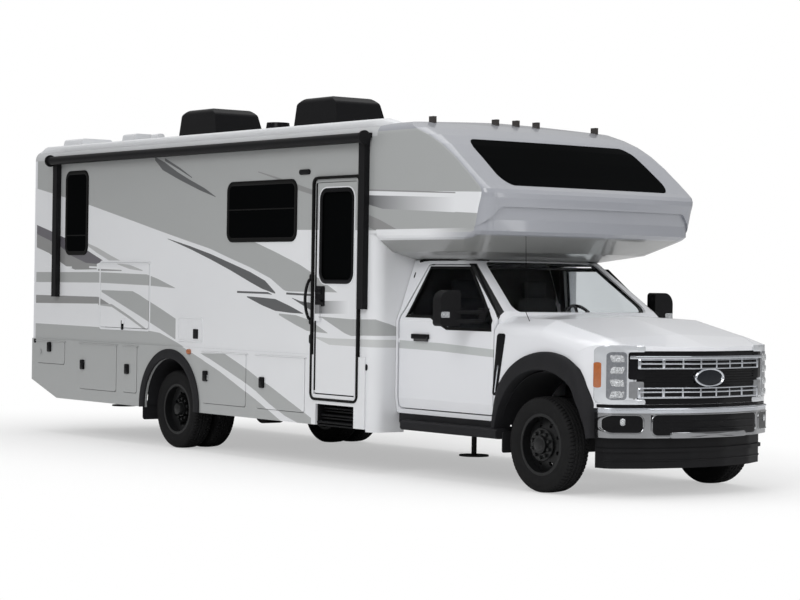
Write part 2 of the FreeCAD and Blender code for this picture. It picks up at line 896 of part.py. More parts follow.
def knuckle(side):
    """The block that turns on the kingpin and carries the spindle."""
    y = side * kingpin_half
    half = knuckle_width / 2
    low = tyre_radius - knuckle_height / 2
    high = tyre_radius + knuckle_height / 2
    barrel = rod(Vector(front_axle_x, y, low), Vector(front_axle_x, y, high), half)
    flange = block(front_axle_x - knuckle_depth / 2, front_axle_x + knuckle_depth / 2, y, y + side * half, low, high)
    body = barrel.fuse(flange)
    hub_back = side * (front_track_half + front_disc_offset - hub_length)
    spindle = disc_y(front_axle_x, y, hub_back - side * fit_gap, tyre_radius, spindle_radius)
    bore = rod(Vector(front_axle_x, y, tyre_radius - knuckle_height), Vector(front_axle_x, y, tyre_radius + knuckle_height),
               kingpin_radius + kingpin_fit)
    return body.fuse(spindle).cut(bore)


def leaf_spring():
    """One rear leaf pack, bowed down to the axle, on the right."""
    y0 = -leaf_half - leaf_width / 2
    z_end = rail_low - leaf_thickness
    z_mid = z_end - leaf_rise + leaf_thickness
    ends = (rear_axle_x - leaf_half_length, rear_axle_x + leaf_half_length)
    low = Part.Arc(Vector(ends[0], y0, z_end - leaf_thickness), Vector(rear_axle_x, y0, z_mid - leaf_thickness),
                   Vector(ends[1], y0, z_end - leaf_thickness)).toShape()
    high = Part.Arc(Vector(ends[0], y0, z_end), Vector(rear_axle_x, y0, z_mid), Vector(ends[1], y0, z_end)).toShape()
    sides = [Part.makeLine(Vector(x, y0, z_end - leaf_thickness), Vector(x, y0, z_end)) for x in ends]
    wire = Part.Wire(Part.__sortEdges__([low, high] + sides))
    return Part.Face(wire).extrude(Vector(0, leaf_width, 0))


def rear_axle():
    """The rear axle tube, its differential, the leaf packs and the propeller shaft up to the gearbox."""
    end = rear_track_half - hub_length - fit_gap
    tube = disc_y(rear_axle_x, -end, end, tyre_radius, axle_tube_radius)
    bowl = disc_y(rear_axle_x, -differential_width / 2, differential_width / 2, tyre_radius, differential_radius)
    nose = rod(Vector(rear_axle_x, 0, tyre_radius), Vector(rear_axle_x + pinion_length, 0, tyre_radius), pinion_radius)
    gearbox_mid = (gearbox_low + gearbox_high) / 2
    shaft = rod(Vector(rear_axle_x + pinion_length - overrun, 0, tyre_radius),
                Vector(aft(gearbox_rear_aft) - fit_gap, 0, gearbox_mid), driveshaft_radius)
    shaft = shaft.cut(block(aft(gearbox_rear_aft) - fit_gap, fore(0), -rail_inner, rail_inner, 0, rail_high))
    leaf = leaf_spring()
    clamp = block(rear_axle_x - axle_tube_radius, rear_axle_x + axle_tube_radius, -leaf_half - leaf_width / 2,
                  -leaf_half + leaf_width / 2, tyre_radius, rail_low - leaf_rise)
    return joined([tube, bowl, nose, shaft, leaf, across(leaf), clamp, across(clamp)])


def engine_block():
    """Engine and gearbox as one plain block."""
    engine = block(aft(engine_rear_aft), fore(engine_front_fore), -engine_half_width, engine_half_width,
                   engine_low, engine_high)
    gearbox = block(aft(gearbox_rear_aft), aft(engine_rear_aft) + overrun, -gearbox_half_width, gearbox_half_width,
                    gearbox_low, gearbox_high)
    mount = block(fore(0), fore(crossmember_width), -rail_outer + rail_web, rail_outer - rail_web,
                  engine_low, engine_low + rail_web * 3)
    return joined([engine, gearbox, mount])


def tank():
    """The fresh water tank between the rails, right of the propeller shaft, hung from two crossmembers."""
    return slab_yz(frame_outline(-tank_outer, -tank_inner, tank_low, tank_high, tank_strap),
                   aft(tank_rear_aft), aft(tank_front_aft))


def exhaust():
    """The exhaust pipe with its muffler, left of the propeller shaft, hung from the crossmembers."""
    pipe = rod(Vector(aft(gearbox_rear_aft), exhaust_half, exhaust_height),
               Vector(aft(exhaust_rear_aft), exhaust_half, exhaust_height), exhaust_radius)
    muffler = rod(Vector(aft(muffler_front_aft), exhaust_half, exhaust_height - exhaust_radius),
                  Vector(aft(muffler_rear_aft), exhaust_half, exhaust_height - exhaust_radius), muffler_radius)
    pieces = [pipe, muffler]
    low = rail_high - rail_web - crossmember_height
    for station in crossmember_stations[2:]:
        x = fore(station)
        if station > -exhaust_rear_aft:
            pieces.append(block(x - hanger_thickness, x + hanger_thickness, exhaust_half - hanger_thickness,
                                exhaust_half + hanger_thickness, exhaust_height, low))
    return joined(pieces)


# Lofted volumes of the cab, the clip and the nose

def plan_wire(level):
    """A plan outline at one height: straight sides, rounded front corners and a bulging front."""
    z, rear, front, half, radius, bulge = level
    diagonal = radius * (1 - math.sqrt(0.5))
    start = Vector(front - radius, -half, z)
    corner = Vector(front - diagonal, -half + diagonal, z)
    turn = Vector(front, -half + radius, z)
    nose = Vector(front + bulge, 0, z)
    far_turn = Vector(front, half - radius, z)
    far_corner = Vector(front - diagonal, half - diagonal, z)
    far_start = Vector(front - radius, half, z)
    back = Vector(rear, half, z)
    near_back = Vector(rear, -half, z)
    return Part.Wire([
        Part.makeLine(near_back, start),
        Part.Arc(start, corner, turn).toShape(),
        Part.Arc(turn, nose, far_turn).toShape(),
        Part.Arc(far_turn, far_corner, far_start).toShape(),
        Part.makeLine(far_start, back),
        Part.makeLine(back, near_back),
    ])


def plan_loft(levels):
    """A solid through plan outlines at rising heights."""
    return Part.makeLoft([plan_wire(level) for level in levels], True, True)


def cab_volume(inset):
    """The cab's outer shape, moved inward by inset."""
    levels = []
    for z, front_aft, half, radius, bulge, slant in cab_levels:
        front = aft(front_aft) - inset * slant
        levels.append([z, aft(cab_rear_aft) + inset, front, half - inset, max(radius - inset, least_radius), bulge])
    levels[0][0] -= inset
    levels[-1][0] -= inset
    return plan_loft(levels)


def nose_volume(inset, recess=0):
    """The bunk nose's outer shape, moved inward by inset; recess takes the brow's face further back."""
    levels = []
    for z, front_aft, half, radius, bulge, slant in nose_levels:
        front = aft(front_aft) - inset * slant
        if nose_recess_low < z < nose_pane_low_z:
            front -= recess
        levels.append([z, aft(coach_front_aft), front, half - inset, max(radius - inset, least_radius), bulge])
    levels[0][0] += inset
    levels[-1][0] -= inset
    return plan_loft(levels).common(coach_section(inset, aft(coach_front_aft), front_axle_x))


def coach_section(inset, x0, x1):
    """The coach's cross-section, moved inward by inset and carried from x0 to x1."""
    half = coach_half_width - inset
    corners = [
        (-half, -overrun, 0), (half, -overrun, 0),
        (half, roof_edge_z - inset, max(roof_corner_radius - inset, least_radius)),
        (0, roof_crown_z - inset, 0),
        (-half, roof_edge_z - inset, max(roof_corner_radius - inset, least_radius)),
    ]
    return slab_yz(corners, x0, x1)


def clip_wire(station, inset):
    """The front clip's cross-section at one station: sides, rounded shoulders and a crowned top."""
    fore_x, shoulder, crown = station
    half = cab_half_width - inset
    inner = half - clip_shoulder_run
    low = clip_low - (overrun if inset else 0)
    rise = shoulder + (crown - shoulder) * clip_crown_share
    corners = [
        (-half, low, 0), (half, low, 0), (half, shoulder - inset, clip_corner_radius / 2),
        (inner, rise - inset, clip_corner_radius / 2), (0, crown - inset, clip_corner_radius),
        (-inner, rise - inset, clip_corner_radius / 2), (-half, shoulder - inset, clip_corner_radius / 2),
    ]
    return rounded_wire(corners, lambda u, v: Vector(fore(fore_x), u, v))


def clip_plan(inset):
    """The front clip's plan outline as an upright prism."""
    rear = aft(clip_rear_aft) - (overrun if inset else 0)
    corners = [(rear, -(cab_half_width - inset), 0)]
    for x, y, radius in clip_plan_points:
        corners.append((fore(x) - inset, -(y - inset), radius))
    for x, y, radius in reversed(clip_plan_points):
        corners.append((fore(x) - inset, y - inset, radius))
    corners.append((rear, cab_half_width - inset, 0))
    return slab_xy(corners, 0, roof_crown_z)


def clip_volume(inset):
    """The fenders and bonnet as one block, moved inward by inset."""
    wires = [clip_wire(station, inset) for station in clip_stations]
    return Part.makeLoft(wires, True, True).common(clip_plan(inset))


def shell(volume, outer, inner):
    """The layer of a volume between two insets."""
    return volume(outer).cut(volume(inner))


# Cab

def door_outline(inset, rear_extra):
    """The cab door's edge as (x, z, radius) corners, moved inward by inset."""
    return [
        (aft(door_front_aft) - inset, door_low + inset, door_corner_radius),
        (aft(door_front_aft) - inset, door_pillar_z, door_corner_radius),
        (aft(door_top_front_aft) - inset, door_top_z - inset, door_corner_radius),
        (aft(door_top_rear_aft) + inset, door_top_z - inset, door_corner_radius),
        (aft(door_rear_aft) + inset + rear_extra, cab_belt + overrun, door_corner_radius),
        (aft(door_rear_aft) + inset + rear_extra, door_low + inset, door_corner_radius),
    ]


def pane_outline(inset):
    """The cab door window's edge as (x, z, radius) corners, moved inward by inset."""
    return [
        (aft(pane_front_aft) - inset, pane_sill_front + inset, pane_corner_radius),
        (aft(pane_front_aft) - inset, pane_front_high, pane_corner_radius),
        (aft(pane_top_front_aft) - inset, pane_top_z - inset, pane_corner_radius),
        (aft(pane_top_rear_aft) + inset, pane_top_z - inset, pane_corner_radius),
        (aft(pane_rear_aft) + inset, pane_sill_rear + inset, pane_corner_radius),
        (aft(pane_step_rear_aft), pane_sill_rear + inset, pane_corner_radius),
        (aft(pane_step_front_aft), pane_sill_front + inset, pane_corner_radius),
    ]


def beside(corners, side):
    """An outline carried across one side of the vehicle."""
    return slab_xz(corners, side * cab_door_reach, side * mirror_half_span)


def cab_core(inset):
    """What lies within the cab's side walls: its cross-section, moved inward by inset and carried along it."""
    right = [(-(half - inset), z, 0) for z, front, half, radius, bulge, slant in cab_levels]
    left = [(-y, z, 0) for y, z, radius in reversed(right)]
    return slab_yz(right + left, aft(cab_rear_aft) - overrun, fore(0))


def windshield_prism(inset):
    """The windshield's outline carried forward through the cab's face."""
    low = windshield_low + inset
    high = windshield_high - inset
    corners = [
        (-windshield_low_half + inset, low, windshield_corner), (windshield_low_half - inset, low, windshield_corner),
        (windshield_high_half - inset, high, windshield_corner), (-windshield_high_half + inset, high, windshield_corner),
    ]
    return slab_yz(corners, aft(windshield_reach_aft), fore(0))


def cab_shell():
    """The hollow cab: walls, floor, roof and pillars, with its door and glass openings."""
    whole = shell(cab_volume, 0, cab_wall)
    floor = cab_volume(cab_wall / 2).common(
        block(aft(cab_rear_aft), fore(0), -cab_half_width, cab_half_width, cab_floor_low, cab_floor_low + cab_floor))
    whole = whole.fuse(floor)
    cuts = [windshield_prism(0)]
    for side in (-1, 1):
        cuts.append(beside(door_outline(-door_gap, -door_rear_gap), side).cut(cab_core(cab_wall + door_swing_gap)))
        cuts.append(block(aft(clip_rear_aft + door_gap), fore(0), side * cab_hinge_pillar_half, side * mirror_half_span,
                          0, cab_levels[3][0]))
    cuts.append(block(aft(cab_rear_aft) - overrun, aft(cab_rear_aft) + cab_wall + overrun, -passage_half, passage_half,
                      cab_floor_low + cab_floor, passage_high))
    cuts.append(block(aft(cab_rear_aft) - overrun, fore(0), -cab_belly_half, cab_belly_half, 0, cab_floor_low))
    cuts.append(block(aft(engine_rear_aft) - crossmember_width, fore(0), -engine_half_width - crossmember_width,
                      engine_half_width + crossmember_width, 0, engine_high + overrun))
    strikers = []
    for side in (-1, 1):
        strikers.append(block(aft(door_rear_aft + door_rear_gap) - cab_wall / 2, aft(door_rear_aft) - fit_gap,
                              side * (cab_half_width - door_skin_to_hinge), side * striker_outer,
                              handle_z - striker_height, handle_z))
    return largest(whole.cut(cuts).fuse(strikers))


def largest(shape):
    """The biggest solid of a cut shape."""
    return max(shape.Solids, key=lambda s: s.Volume)


def cab_door(side):
    """One cab door: the whole wall's thickness, its window frame and its handle."""
    leaf = cab_volume(0).common(beside(door_outline(0, 0), side))
    leaf = leaf.cut([cab_core(cab_wall), beside(pane_outline(0), side)])
    handle = block(aft(handle_aft + handle_length / 2), aft(handle_aft - handle_length / 2),
                   side * (cab_half_width - cab_wall / 2), side * (cab_half_width + handle_proud),
                   handle_z - handle_height / 2, handle_z + handle_height / 2)
    return largest(leaf.fuse(handle))


def cab_door_glass(side):
    """The pane of one cab door."""
    layer = cab_volume(glass_inset).cut(cab_core(glass_inset + glass_thickness))
    return largest(layer.common(beside(pane_outline(0), side)))


def windshield():
    """The cab's front glass."""
    layer = shell(cab_volume, glass_inset, glass_inset + glass_thickness)
    return largest(layer.common(windshield_prism(0)))


def mirror(side):
    """A tall mirror on two arms, fixed to the door."""
    outer = side * mirror_half_span
    inner = side * (mirror_half_span - mirror_width)
    x0 = aft(mirror_aft + mirror_depth)
    x1 = aft(mirror_aft)
    high = mirror_low + mirror_height
    head = slab_yz([(inner, mirror_low, mirror_corner), (outer, mirror_low, mirror_corner),
                    (outer, high, mirror_outer_corner), (inner, high, mirror_corner)], x0, x1)
    pieces = [head]
    middle = (x0 + x1) / 2
    for z in (mirror_arm_low, mirror_arm_high):
        pieces.append(rod(Vector(middle, side * (mirror_half_span - mirror_width / 2), z),
                          Vector(aft(mirror_foot_aft), side * mirror_foot_half, z), mirror_arm_radius))
    foot = block(aft(mirror_foot_aft) - mirror_foot, aft(mirror_foot_aft) + mirror_foot / 2,
                 side * (mirror_foot_half - mirror_foot), side * (mirror_foot_half + mirror_arm_radius),
                 mirror_arm_low - mirror_arm_radius * 2, mirror_arm_high + mirror_arm_radius * 2)
    pieces.append(foot)
    whole = joined(pieces)
    return largest(whole.cut(cab_volume(0)))


# Front clip

def bonnet_prism(gap):
    """The bonnet's plan outline, moved inward by gap, above its split line."""
    rear = aft(bonnet_rear_aft) + (bonnet_rear_gap if gap else 0)
    corners = [(rear, -(bonnet_half - gap), 0)]
    for x, y, radius in bonnet_points:
        corners.append((fore(x), -(y - gap), radius))
    for x, y, radius in reversed(bonnet_points):
        corners.append((fore(x), y - gap, radius))
    corners.append((rear, bonnet_half - gap, 0))
    return slab_xy(corners, bonnet_split_z + gap, roof_crown_z)


def arch_cut(x, z, radius, inner_half):
    """Cylinders through both sides where a wheel arch opens."""
    cut = disc_y(x, -mirror_half_span, -inner_half, z, radius)
    return [cut, across(cut)]


def lamp_box(side, gap):
    """The corner that one headlamp fills, grown by gap."""
    return block(fore(lamp_rear_fore) - gap, fore(overall_length), side * (lamp_inner_half - gap), side * mirror_half_span,
                 lamp_low - gap, lamp_high + gap)


def front_clip():
    """Fenders, nose panel and radiator support, open below and behind."""
    skin = shell(clip_volume, 0, clip_skin)
    support = clip_volume(clip_skin / 2).common(
        block(fore(support_fore), fore(support_fore + support_thickness), -cab_half_width, cab_half_width,
              rail_high, support_high))
    whole = skin.fuse(support)
    cuts = [bonnet_prism(0), lamp_box(-1, lamp_gap), lamp_box(1, lamp_gap)]
    cuts += arch_cut(front_axle_x, tyre_radius, front_arch_radius, cab_half_width - clip_skin * 2)
    cuts.append(block(fore(support_fore + support_thickness), fore(overall_length), -grille_half - fit_gap,
                      grille_half + fit_gap, grille_low - fit_gap, grille_high + fit_gap))
    cuts.append(block(fore(clip_bumper_fore), fore(overall_length), -mirror_half_span, mirror_half_span, 0, bumper_high))
    cuts.append(cab_volume(0).common(block(aft(cab_rear_aft), fore(0), -cab_hinge_pillar_half, cab_hinge_pillar_half,
                                           0, overall_length)))
    rest = block(fore(support_fore), fore(support_fore + support_thickness), -bonnet_rest_half, bonnet_rest_half,
                 support_high, overall_length).common(clip_volume(clip_skin + fit_gap))
    return largest(whole.cut(cuts).fuse(rest))


def bonnet():
    """The bonnet panel with a stiffening rib under its middle."""
    panel = shell(clip_volume, 0, clip_skin).common(bonnet_prism(bonnet_gap))
    return largest(panel)


def headlamp(side):
    """One wrap-round headlamp, seated on the radiator support."""
    body = clip_volume(0).common(lamp_box(side, 0))
    return largest(body)


def grille_region(inset, y_inset):
    """The grille's opening as a block, moved inward."""
    return block(fore(support_fore), fore(overall_length), -grille_half + y_inset, grille_half - y_inset,
                 grille_low + inset, grille_high - inset)


def grille():
    """The grille: frame, two rows of cells above and below a solid middle band, on a backing plate."""
    layer = shell(clip_volume, grille_recess, grille_depth)
    ring = layer.common(grille_region(0, 0)).cut(grille_region(grille_frame, grille_frame))
    band = layer.common(block(fore(support_fore), fore(overall_length), -grille_half, grille_half,
                              grille_band_low, grille_band_high))
    pieces = [ring, band]
    for low, high in ((grille_low, grille_band_low), (grille_band_high, grille_high)):
        z = (low + high) / 2
        pieces.append(layer.common(block(fore(support_fore), fore(overall_length), -grille_half, grille_half,
                                         z - grille_bar / 2, z + grille_bar / 2)))
    pitch = 2 * grille_half / (grille_columns + 1)
    for i in range(1, grille_columns + 1):
        y = -grille_half + pitch * i
        pieces.append(layer.common(block(fore(support_fore), fore(overall_length), y - grille_bar / 2, y + grille_bar / 2,
                                         grille_low, grille_high)))
    pieces.append(shell(clip_volume, grille_depth, grille_depth + grille_backing).common(grille_region(0, 0)))
    return largest(joined(pieces))


def bar_plan(points, inset, z0, z1):
    """A bumper-like bar's plan outline: (fore, half width, radius) points on both sides, closed behind."""
    corners = [(fore(x) - inset, -(y - inset), r) for x, y, r in points]
    corners += [(fore(x) - inset, y - inset, r) for x, y, r in reversed(points)]
    return slab_xy(corners, z0, z1)


def front_bumper():
    """The chrome bumper shell with its middle air opening and lamp pockets, on two brackets to the rails."""
    outer = bar_plan(bumper_points, 0, bumper_low, bumper_high)
    inner = bar_plan(bumper_points, bumper_wall, bumper_low - overrun, bumper_high + overrun)
    behind = block(fore(0), fore(bumper_points[0][0]) + overrun, -bumper_half, bumper_half, 0, rail_high)
    skin = outer.cut([inner, behind.common(inner)])
    cuts = [block(fore(rail_front_fore), fore(overall_length), -bumper_opening_half, bumper_opening_half,
                  bumper_opening_low, bumper_opening_high)]
    for side in (-1, 1):
        cuts.append(block(fore(rail_front_fore), fore(overall_length), side * fog_inner, side * fog_outer,
                          fog_low, fog_high))
    pieces = [skin.cut(cuts)]
    for side in (-1, 1):
        pieces.append(block(fore(rail_front_fore), fore(bumper_bracket_fore), side * rail_inner, side * rail_outer,
                            bumper_low + rail_web, bumper_high - rail_web))
    web = block(fore(bumper_bracket_fore - bumper_wall), fore(bumper_bracket_fore), -fog_outer, fog_outer,
                bumper_low, bumper_high)
    pieces.append(web.common(outer))
    return largest(joined(pieces))


def air_dam():
    """The black air dam under the bumper, with its ledge."""
    outer = bar_plan(dam_points, 0, dam_low, bumper_low)
    inner = bar_plan(dam_points, dam_wall, dam_low - overrun, bumper_low - dam_wall)
    ledge = bar_plan(dam_points, -dam_ledge_out, dam_ledge_z, dam_ledge_z + dam_wall)
    return largest(outer.fuse(ledge).cut(inner))


def front_flare():
    """The wide black flare over the right front wheel."""
    y = cab_half_width
    outer = disc_y(front_axle_x, -y - front_flare_proud, -y + clip_skin * 2, tyre_radius, front_flare_outer)
    inner = disc_y(front_axle_x, -y - overall_length, -y + overall_length, tyre_radius, front_flare_inner)
    below = block(aft(overall_length), fore(overall_length), -mirror_half_span, 0, -overall_length, front_flare_low)
    front = block(fore(lamp_rear_fore) - lamp_gap, fore(overall_length), -mirror_half_span, 0, lamp_low - overrun, overall_length)
    rear = block(aft(overall_length), aft(clip_rear_aft), -mirror_half_span, 0, 0, overall_length)
    ring = outer.cut([inner, below, front, rear])
    return largest(ring.cut([clip_volume(0), bar_plan(bumper_points, -fit_gap, bumper_low, bumper_high)]))


def rear_flare():
    """The black flare round the right rear wheel, with its mud flap behind."""
    y = skirt_half_width
    outer = disc_y(rear_axle_x, -y - rear_flare_proud, -y, rear_flare_centre_z, rear_flare_outer)
    inner = disc_y(rear_axle_x, -y - overall_length, -y + overall_length, rear_flare_centre_z, rear_flare_inner)
    below = block(aft(overall_length), fore(0), -mirror_half_span, 0, -overall_length, skirt_low)
    x = rear_axle_x - flap_aft_of_axle
    inner_face = -skirt_half_width + skirt_thickness + fit_gap
    flap = block(x - flap_thickness, x, -y - rear_flare_proud, -flap_inner, flap_low, skirt_low)
    flap = flap.fuse(block(x - flap_thickness, x, inner_face, -flap_inner, skirt_low, flap_high))
    return largest(outer.cut([inner, below]).fuse(flap))


def running_board():
    """The long step under the right cab door, on a riser to the rail."""
    tread = slab_yz(frame_outline(-board_outer, -board_inner, board_low, board_high, board_corner),
                    aft(board_rear_aft), aft(board_front_aft))
    pieces = [tread]
    for station in board_brackets:
        pieces.append(block(aft(station + board_riser), aft(station), -board_inner - board_corner, -rail_outer,
                            board_high - board_riser, board_high))
        pieces.append(block(aft(station + board_riser), aft(station), -rail_outer - board_riser, -rail_outer,
                            board_high - board_riser, rail_high - rail_web))
    pieces.append(block(aft(board_front_aft), aft(board_front_aft) + flap_thickness, -front_flap_outer, -front_flap_inner,
                        front_flap_low, board_high - board_corner))
    return joined(pieces)


# Cab interior

def dashboard():
    """The dashboard with its column and steering wheel."""
    inside = cab_volume(cab_wall)
    panel = inside.common(block(aft(dash_rear_aft), fore(0), -dash_half, dash_half, dash_low, dash_high))
    lean = Vector(-math.cos(math.radians(column_tilt)), 0, math.sin(math.radians(column_tilt)))
    root = Vector(aft(dash_rear_aft) + column_drop, seat_half, dash_high - column_drop * 2)
    tip = root + lean * column_length
    column = rod(root, tip, column_radius)
    ring = Part.makeTorus(wheel_rim_radius, wheel_rim_section, tip, lean)
    hub = rod(tip - lean * wheel_hub_length / 2, tip + lean * wheel_hub_length / 2, wheel_hub_radius)
    spokes = []
    across_wheel = Vector(0, 1, 0)
    up_wheel = lean.cross(across_wheel)
    for direction in (across_wheel, across_wheel * -1, up_wheel * -1):
        spokes.append(rod(tip, tip + direction * wheel_rim_radius, wheel_rim_section * 0.8))
    return largest(joined([panel, column, ring, hub] + spokes))


def cab_seat():
    """One cab seat on its pedestal, on the right."""
    y0 = -seat_half - seat_width / 2
    y1 = -seat_half + seat_width / 2
    rear = aft(seat_front_aft + seat_length)
    cushion = slab_xz(frame_outline(rear, aft(seat_front_aft), seat_cushion_low, seat_cushion_high, seat_corner), y0, y1)
    back = slab_xz([(rear - seat_lean, seat_back_high, seat_corner), (rear, seat_cushion_low, 0),
                    (rear + seat_back_thickness, seat_cushion_low, 0),
                    (rear + seat_back_thickness - seat_lean, seat_back_high, seat_corner)], y0, y1)
    head = slab_xz(frame_outline(rear - seat_lean, rear - seat_lean + seat_back_thickness,
                                 seat_back_high - seat_corner, seat_back_high + seat_head, seat_corner),
                   -seat_half - seat_head, -seat_half + seat_head)
    base = block(rear + seat_base_inset, aft(seat_front_aft) - seat_base_inset, y0 + seat_base_inset,
                 y1 - seat_base_inset, cab_floor_low + cab_floor, seat_cushion_low + seat_corner)
    return joined([cushion, back, head, base])


# Coach

def coach_outline(inset):
    """The coach body as one block from the rear face to its rounded front corners, moved inward by inset."""
    rear = coach_rear_x + inset
    front = aft(coach_front_aft) - inset
    half = coach_half_width - inset
    lower = slab_xy([(rear, -half, 0), (front, -half, coach_corner_radius), (front, half, coach_corner_radius),
                     (rear, half, 0)], rear_wall_low, bunk_side_z)
    lower = lower.cut(block(rear, front, -half, half, bunk_side_z, overall_length))
    upper = coach_section(inset, rear, front)
    upper = upper.cut(block(rear - overrun, front + overrun, -half - overrun, half + overrun, -overall_length, bunk_side_z))
    return lower.fuse(upper)


def coach_plan(inset):
    """The coach's rounded front corners as an upright prism, moved inward by inset."""
    front = aft(coach_front_aft) - inset
    half = coach_half_width - inset
    rear = aft(entry_rear_aft)
    return slab_xy([(rear, -half, 0), (front, -half, coach_corner_radius), (front, half, coach_corner_radius),
                    (rear, half, 0)], 0, wall_top_z)


def coach_layer():
    """The coach body's wall, all round."""
    return coach_outline(0).cut(coach_outline(coach_wall))


def wall_openings(side):
    """What is cut from one side wall: windows, entry door and outside kitchen."""
    cuts = []
    for x0, x1, z0, z1 in (right_windows if side < 0 else left_windows):
        outline = frame_outline(aft(x1), aft(x0), z0, z1, window_corner)
        cuts.append(slab_xz(outline, side * (coach_half_width - coach_wall * 2), side * (coach_half_width + coach_wall)))
    if side < 0:
        cuts.append(slab_xz(frame_outline(aft(entry_rear_aft), aft(entry_front_aft), 0, entry_high, entry_corner),
                            -coach_half_width - coach_wall, -coach_half_width + coach_wall * 2))
        cuts.append(slab_xz(frame_outline(aft(kitchen_rear_aft), aft(kitchen_front_aft), kitchen_low, kitchen_high,
                                          locker_corner),
                            -coach_half_width - coach_wall, -coach_half_width + coach_wall * 2))
    return cuts


def coach_wall_piece(side):
    """One side wall, above the floor's underside."""
    rear = coach_rear_x + coach_wall
    inner = side * (coach_half_width - coach_wall)
    outer = side * coach_half_width
    low = block(rear, aft(coach_front_aft) - coach_corner_radius, inner, outer, belt_z, bunk_side_z)
    high = block(rear, aft(coach_front_aft), inner, outer, bunk_side_z, wall_top_z)
    wall = joined([low, high]).cut(wall_openings(side))
    if side < 0:
        wall = wall.fuse(kitchen_hinge()[1] + [entry_hinge()[1]])
    return largest(wall)


def coach_rear_wall():
    """The rear wall, from its foot above the bumper to the roof's edge."""
    half = skirt_half_width - skirt_thickness
    low = block(coach_rear_x, coach_rear_x + coach_wall, -half, half, rear_wall_low, belt_z)
    high = block(coach_rear_x, coach_rear_x + coach_wall, -coach_half_width, coach_half_width, belt_z, wall_top_z)
    return largest(coach_layer().common(joined([low, high])))


def coach_front_wall():
    """The front wall with its rounded corners, the passage to the cab, the bunk opening and its foot."""
    front = aft(coach_front_aft)
    half = coach_half_width - coach_wall
    low = block(front - coach_corner_radius, front, -coach_half_width, coach_half_width, front_wall_low, bunk_side_z)
    high = block(front - coach_wall, front, -half, half, bunk_side_z, wall_top_z)
    skin = coach_plan(0).cut(coach_plan(coach_wall))
    layer = skin.common(low).fuse(high)
    cuts = [
        block(front - coach_wall - overrun, front + overrun, -passage_half, passage_half,
              cab_floor_low + cab_floor, bunk_opening_low + overrun),
        block(front - coach_wall - overrun, front + overrun, -bunk_opening_half, bunk_opening_half,
              bunk_opening_low, wall_top_z + overrun),
        block(front - coach_corner_radius - overrun, front + overrun, -front_foot_inner, front_foot_inner,
              0, cab_floor_low + cab_floor),
    ]
    return layer.cut(cuts)


def coach_roof():
    """The roof with its rounded edges."""
    layer = coach_layer().common(block(coach_rear_x, aft(coach_front_aft), -coach_half_width, coach_half_width,
                                       wall_top_z, roof_crown_z))
    return largest(layer)


def coach_floor():
    """The floor between the walls, with the entry's step well let into it."""
    half = coach_half_width - coach_wall
    edge = skirt_half_width - skirt_thickness
    plate = block(coach_rear_x + coach_wall, aft(coach_front_aft) - coach_wall, -half, half, floor_low, floor_high)
    wide = block(coach_rear_x + coach_wall, aft(coach_front_aft) - coach_corner_radius, -edge, edge, floor_low, belt_z)
    plate = plate.fuse(wide).cut(coach_front_wall())
    front = aft(entry_front_aft) + entry_well_side
    rear = aft(entry_rear_aft) - entry_well_side
    depth = coach_half_width - step_well_depth
    hollow = block(rear, front, -coach_half_width, -depth, entry_low, floor_high + overrun)
    outer = block(rear - step_well_wall, front + step_well_wall, -half, -depth + step_well_wall,
                  entry_low - step_well_wall, floor_low)
    tread = block(rear, front, -coach_half_width + step_tread_depth, -depth, entry_low, step_tread_z)
    return largest(plate.fuse(outer).cut(hollow).fuse(tread))


def nose_cap():
    """The bunk nose: a hollow shell, open behind to the coach, with its wrap-round window cut."""
    inner = nose_volume(nose_wall)
    opening = block(aft(coach_front_aft) - overrun, aft(coach_front_aft) + nose_wall + overrun, -bunk_opening_half,
                    bunk_opening_half, bunk_opening_low, wall_top_z)
    panel = nose_recess_prism().cut(nose_volume(0, nose_recess))
    return largest(nose_volume(0).cut([inner, opening, nose_window_prism(), cab_volume(0), panel]))


def nose_recess_prism():
    """The outline of the sunk panel under the brow, carried forward."""
    half = coach_half_width
    corners = [
        (-half - overrun, 0, 0), (half + overrun, 0, 0), (half + overrun, nose_recess_low, 0),
        (half, nose_recess_low, 0), (nose_recess_high_half, nose_recess_high, nose_recess_corner),
        (-nose_recess_high_half, nose_recess_high, nose_recess_corner), (-half, nose_recess_low, 0),
        (-half - overrun, nose_recess_low, 0),
    ]
    return slab_yz(corners, aft(nose_recess_reach_aft), fore(0))


def nose_window_prism():
    """The nose window's outline carried forward."""
    corners = [
        (-nose_pane_low_half, nose_pane_low_z, nose_pane_corner), (nose_pane_low_half, nose_pane_low_z, nose_pane_corner),
        (nose_pane_high_half, nose_pane_high_z, nose_pane_corner), (-nose_pane_high_half, nose_pane_high_z, nose_pane_corner),
    ]
    return slab_yz(corners, aft(nose_pane_reach_aft), fore(0))


def nose_glass():
    """The pane that follows the nose's slope."""
    layer = shell(nose_volume, nose_glass_inset, nose_glass_inset + nose_glass_thickness)
    return largest(layer.common(nose_window_prism()))


def coach_windows():
    """The side windows' panes in their openings."""
    panes = []
    for side, openings in ((-1, right_windows), (1, left_windows)):
        for x0, x1, z0, z1 in openings:
            outline = frame_outline(aft(x1), aft(x0), z0, z1, window_corner)
            y = side * (coach_half_width - coach_wall / 2)
            panes.append(slab_xz(outline, y, side * (coach_half_width + window_proud)))
    return panes


# Skirts and lockers

def locker_outline(x0, x1, z0, z1, inset):
    """A locker door's corners, moved inward by inset."""
    return frame_outline(aft(x1) + inset, aft(x0) - inset, z0 + inset, z1 - inset, locker_corner)


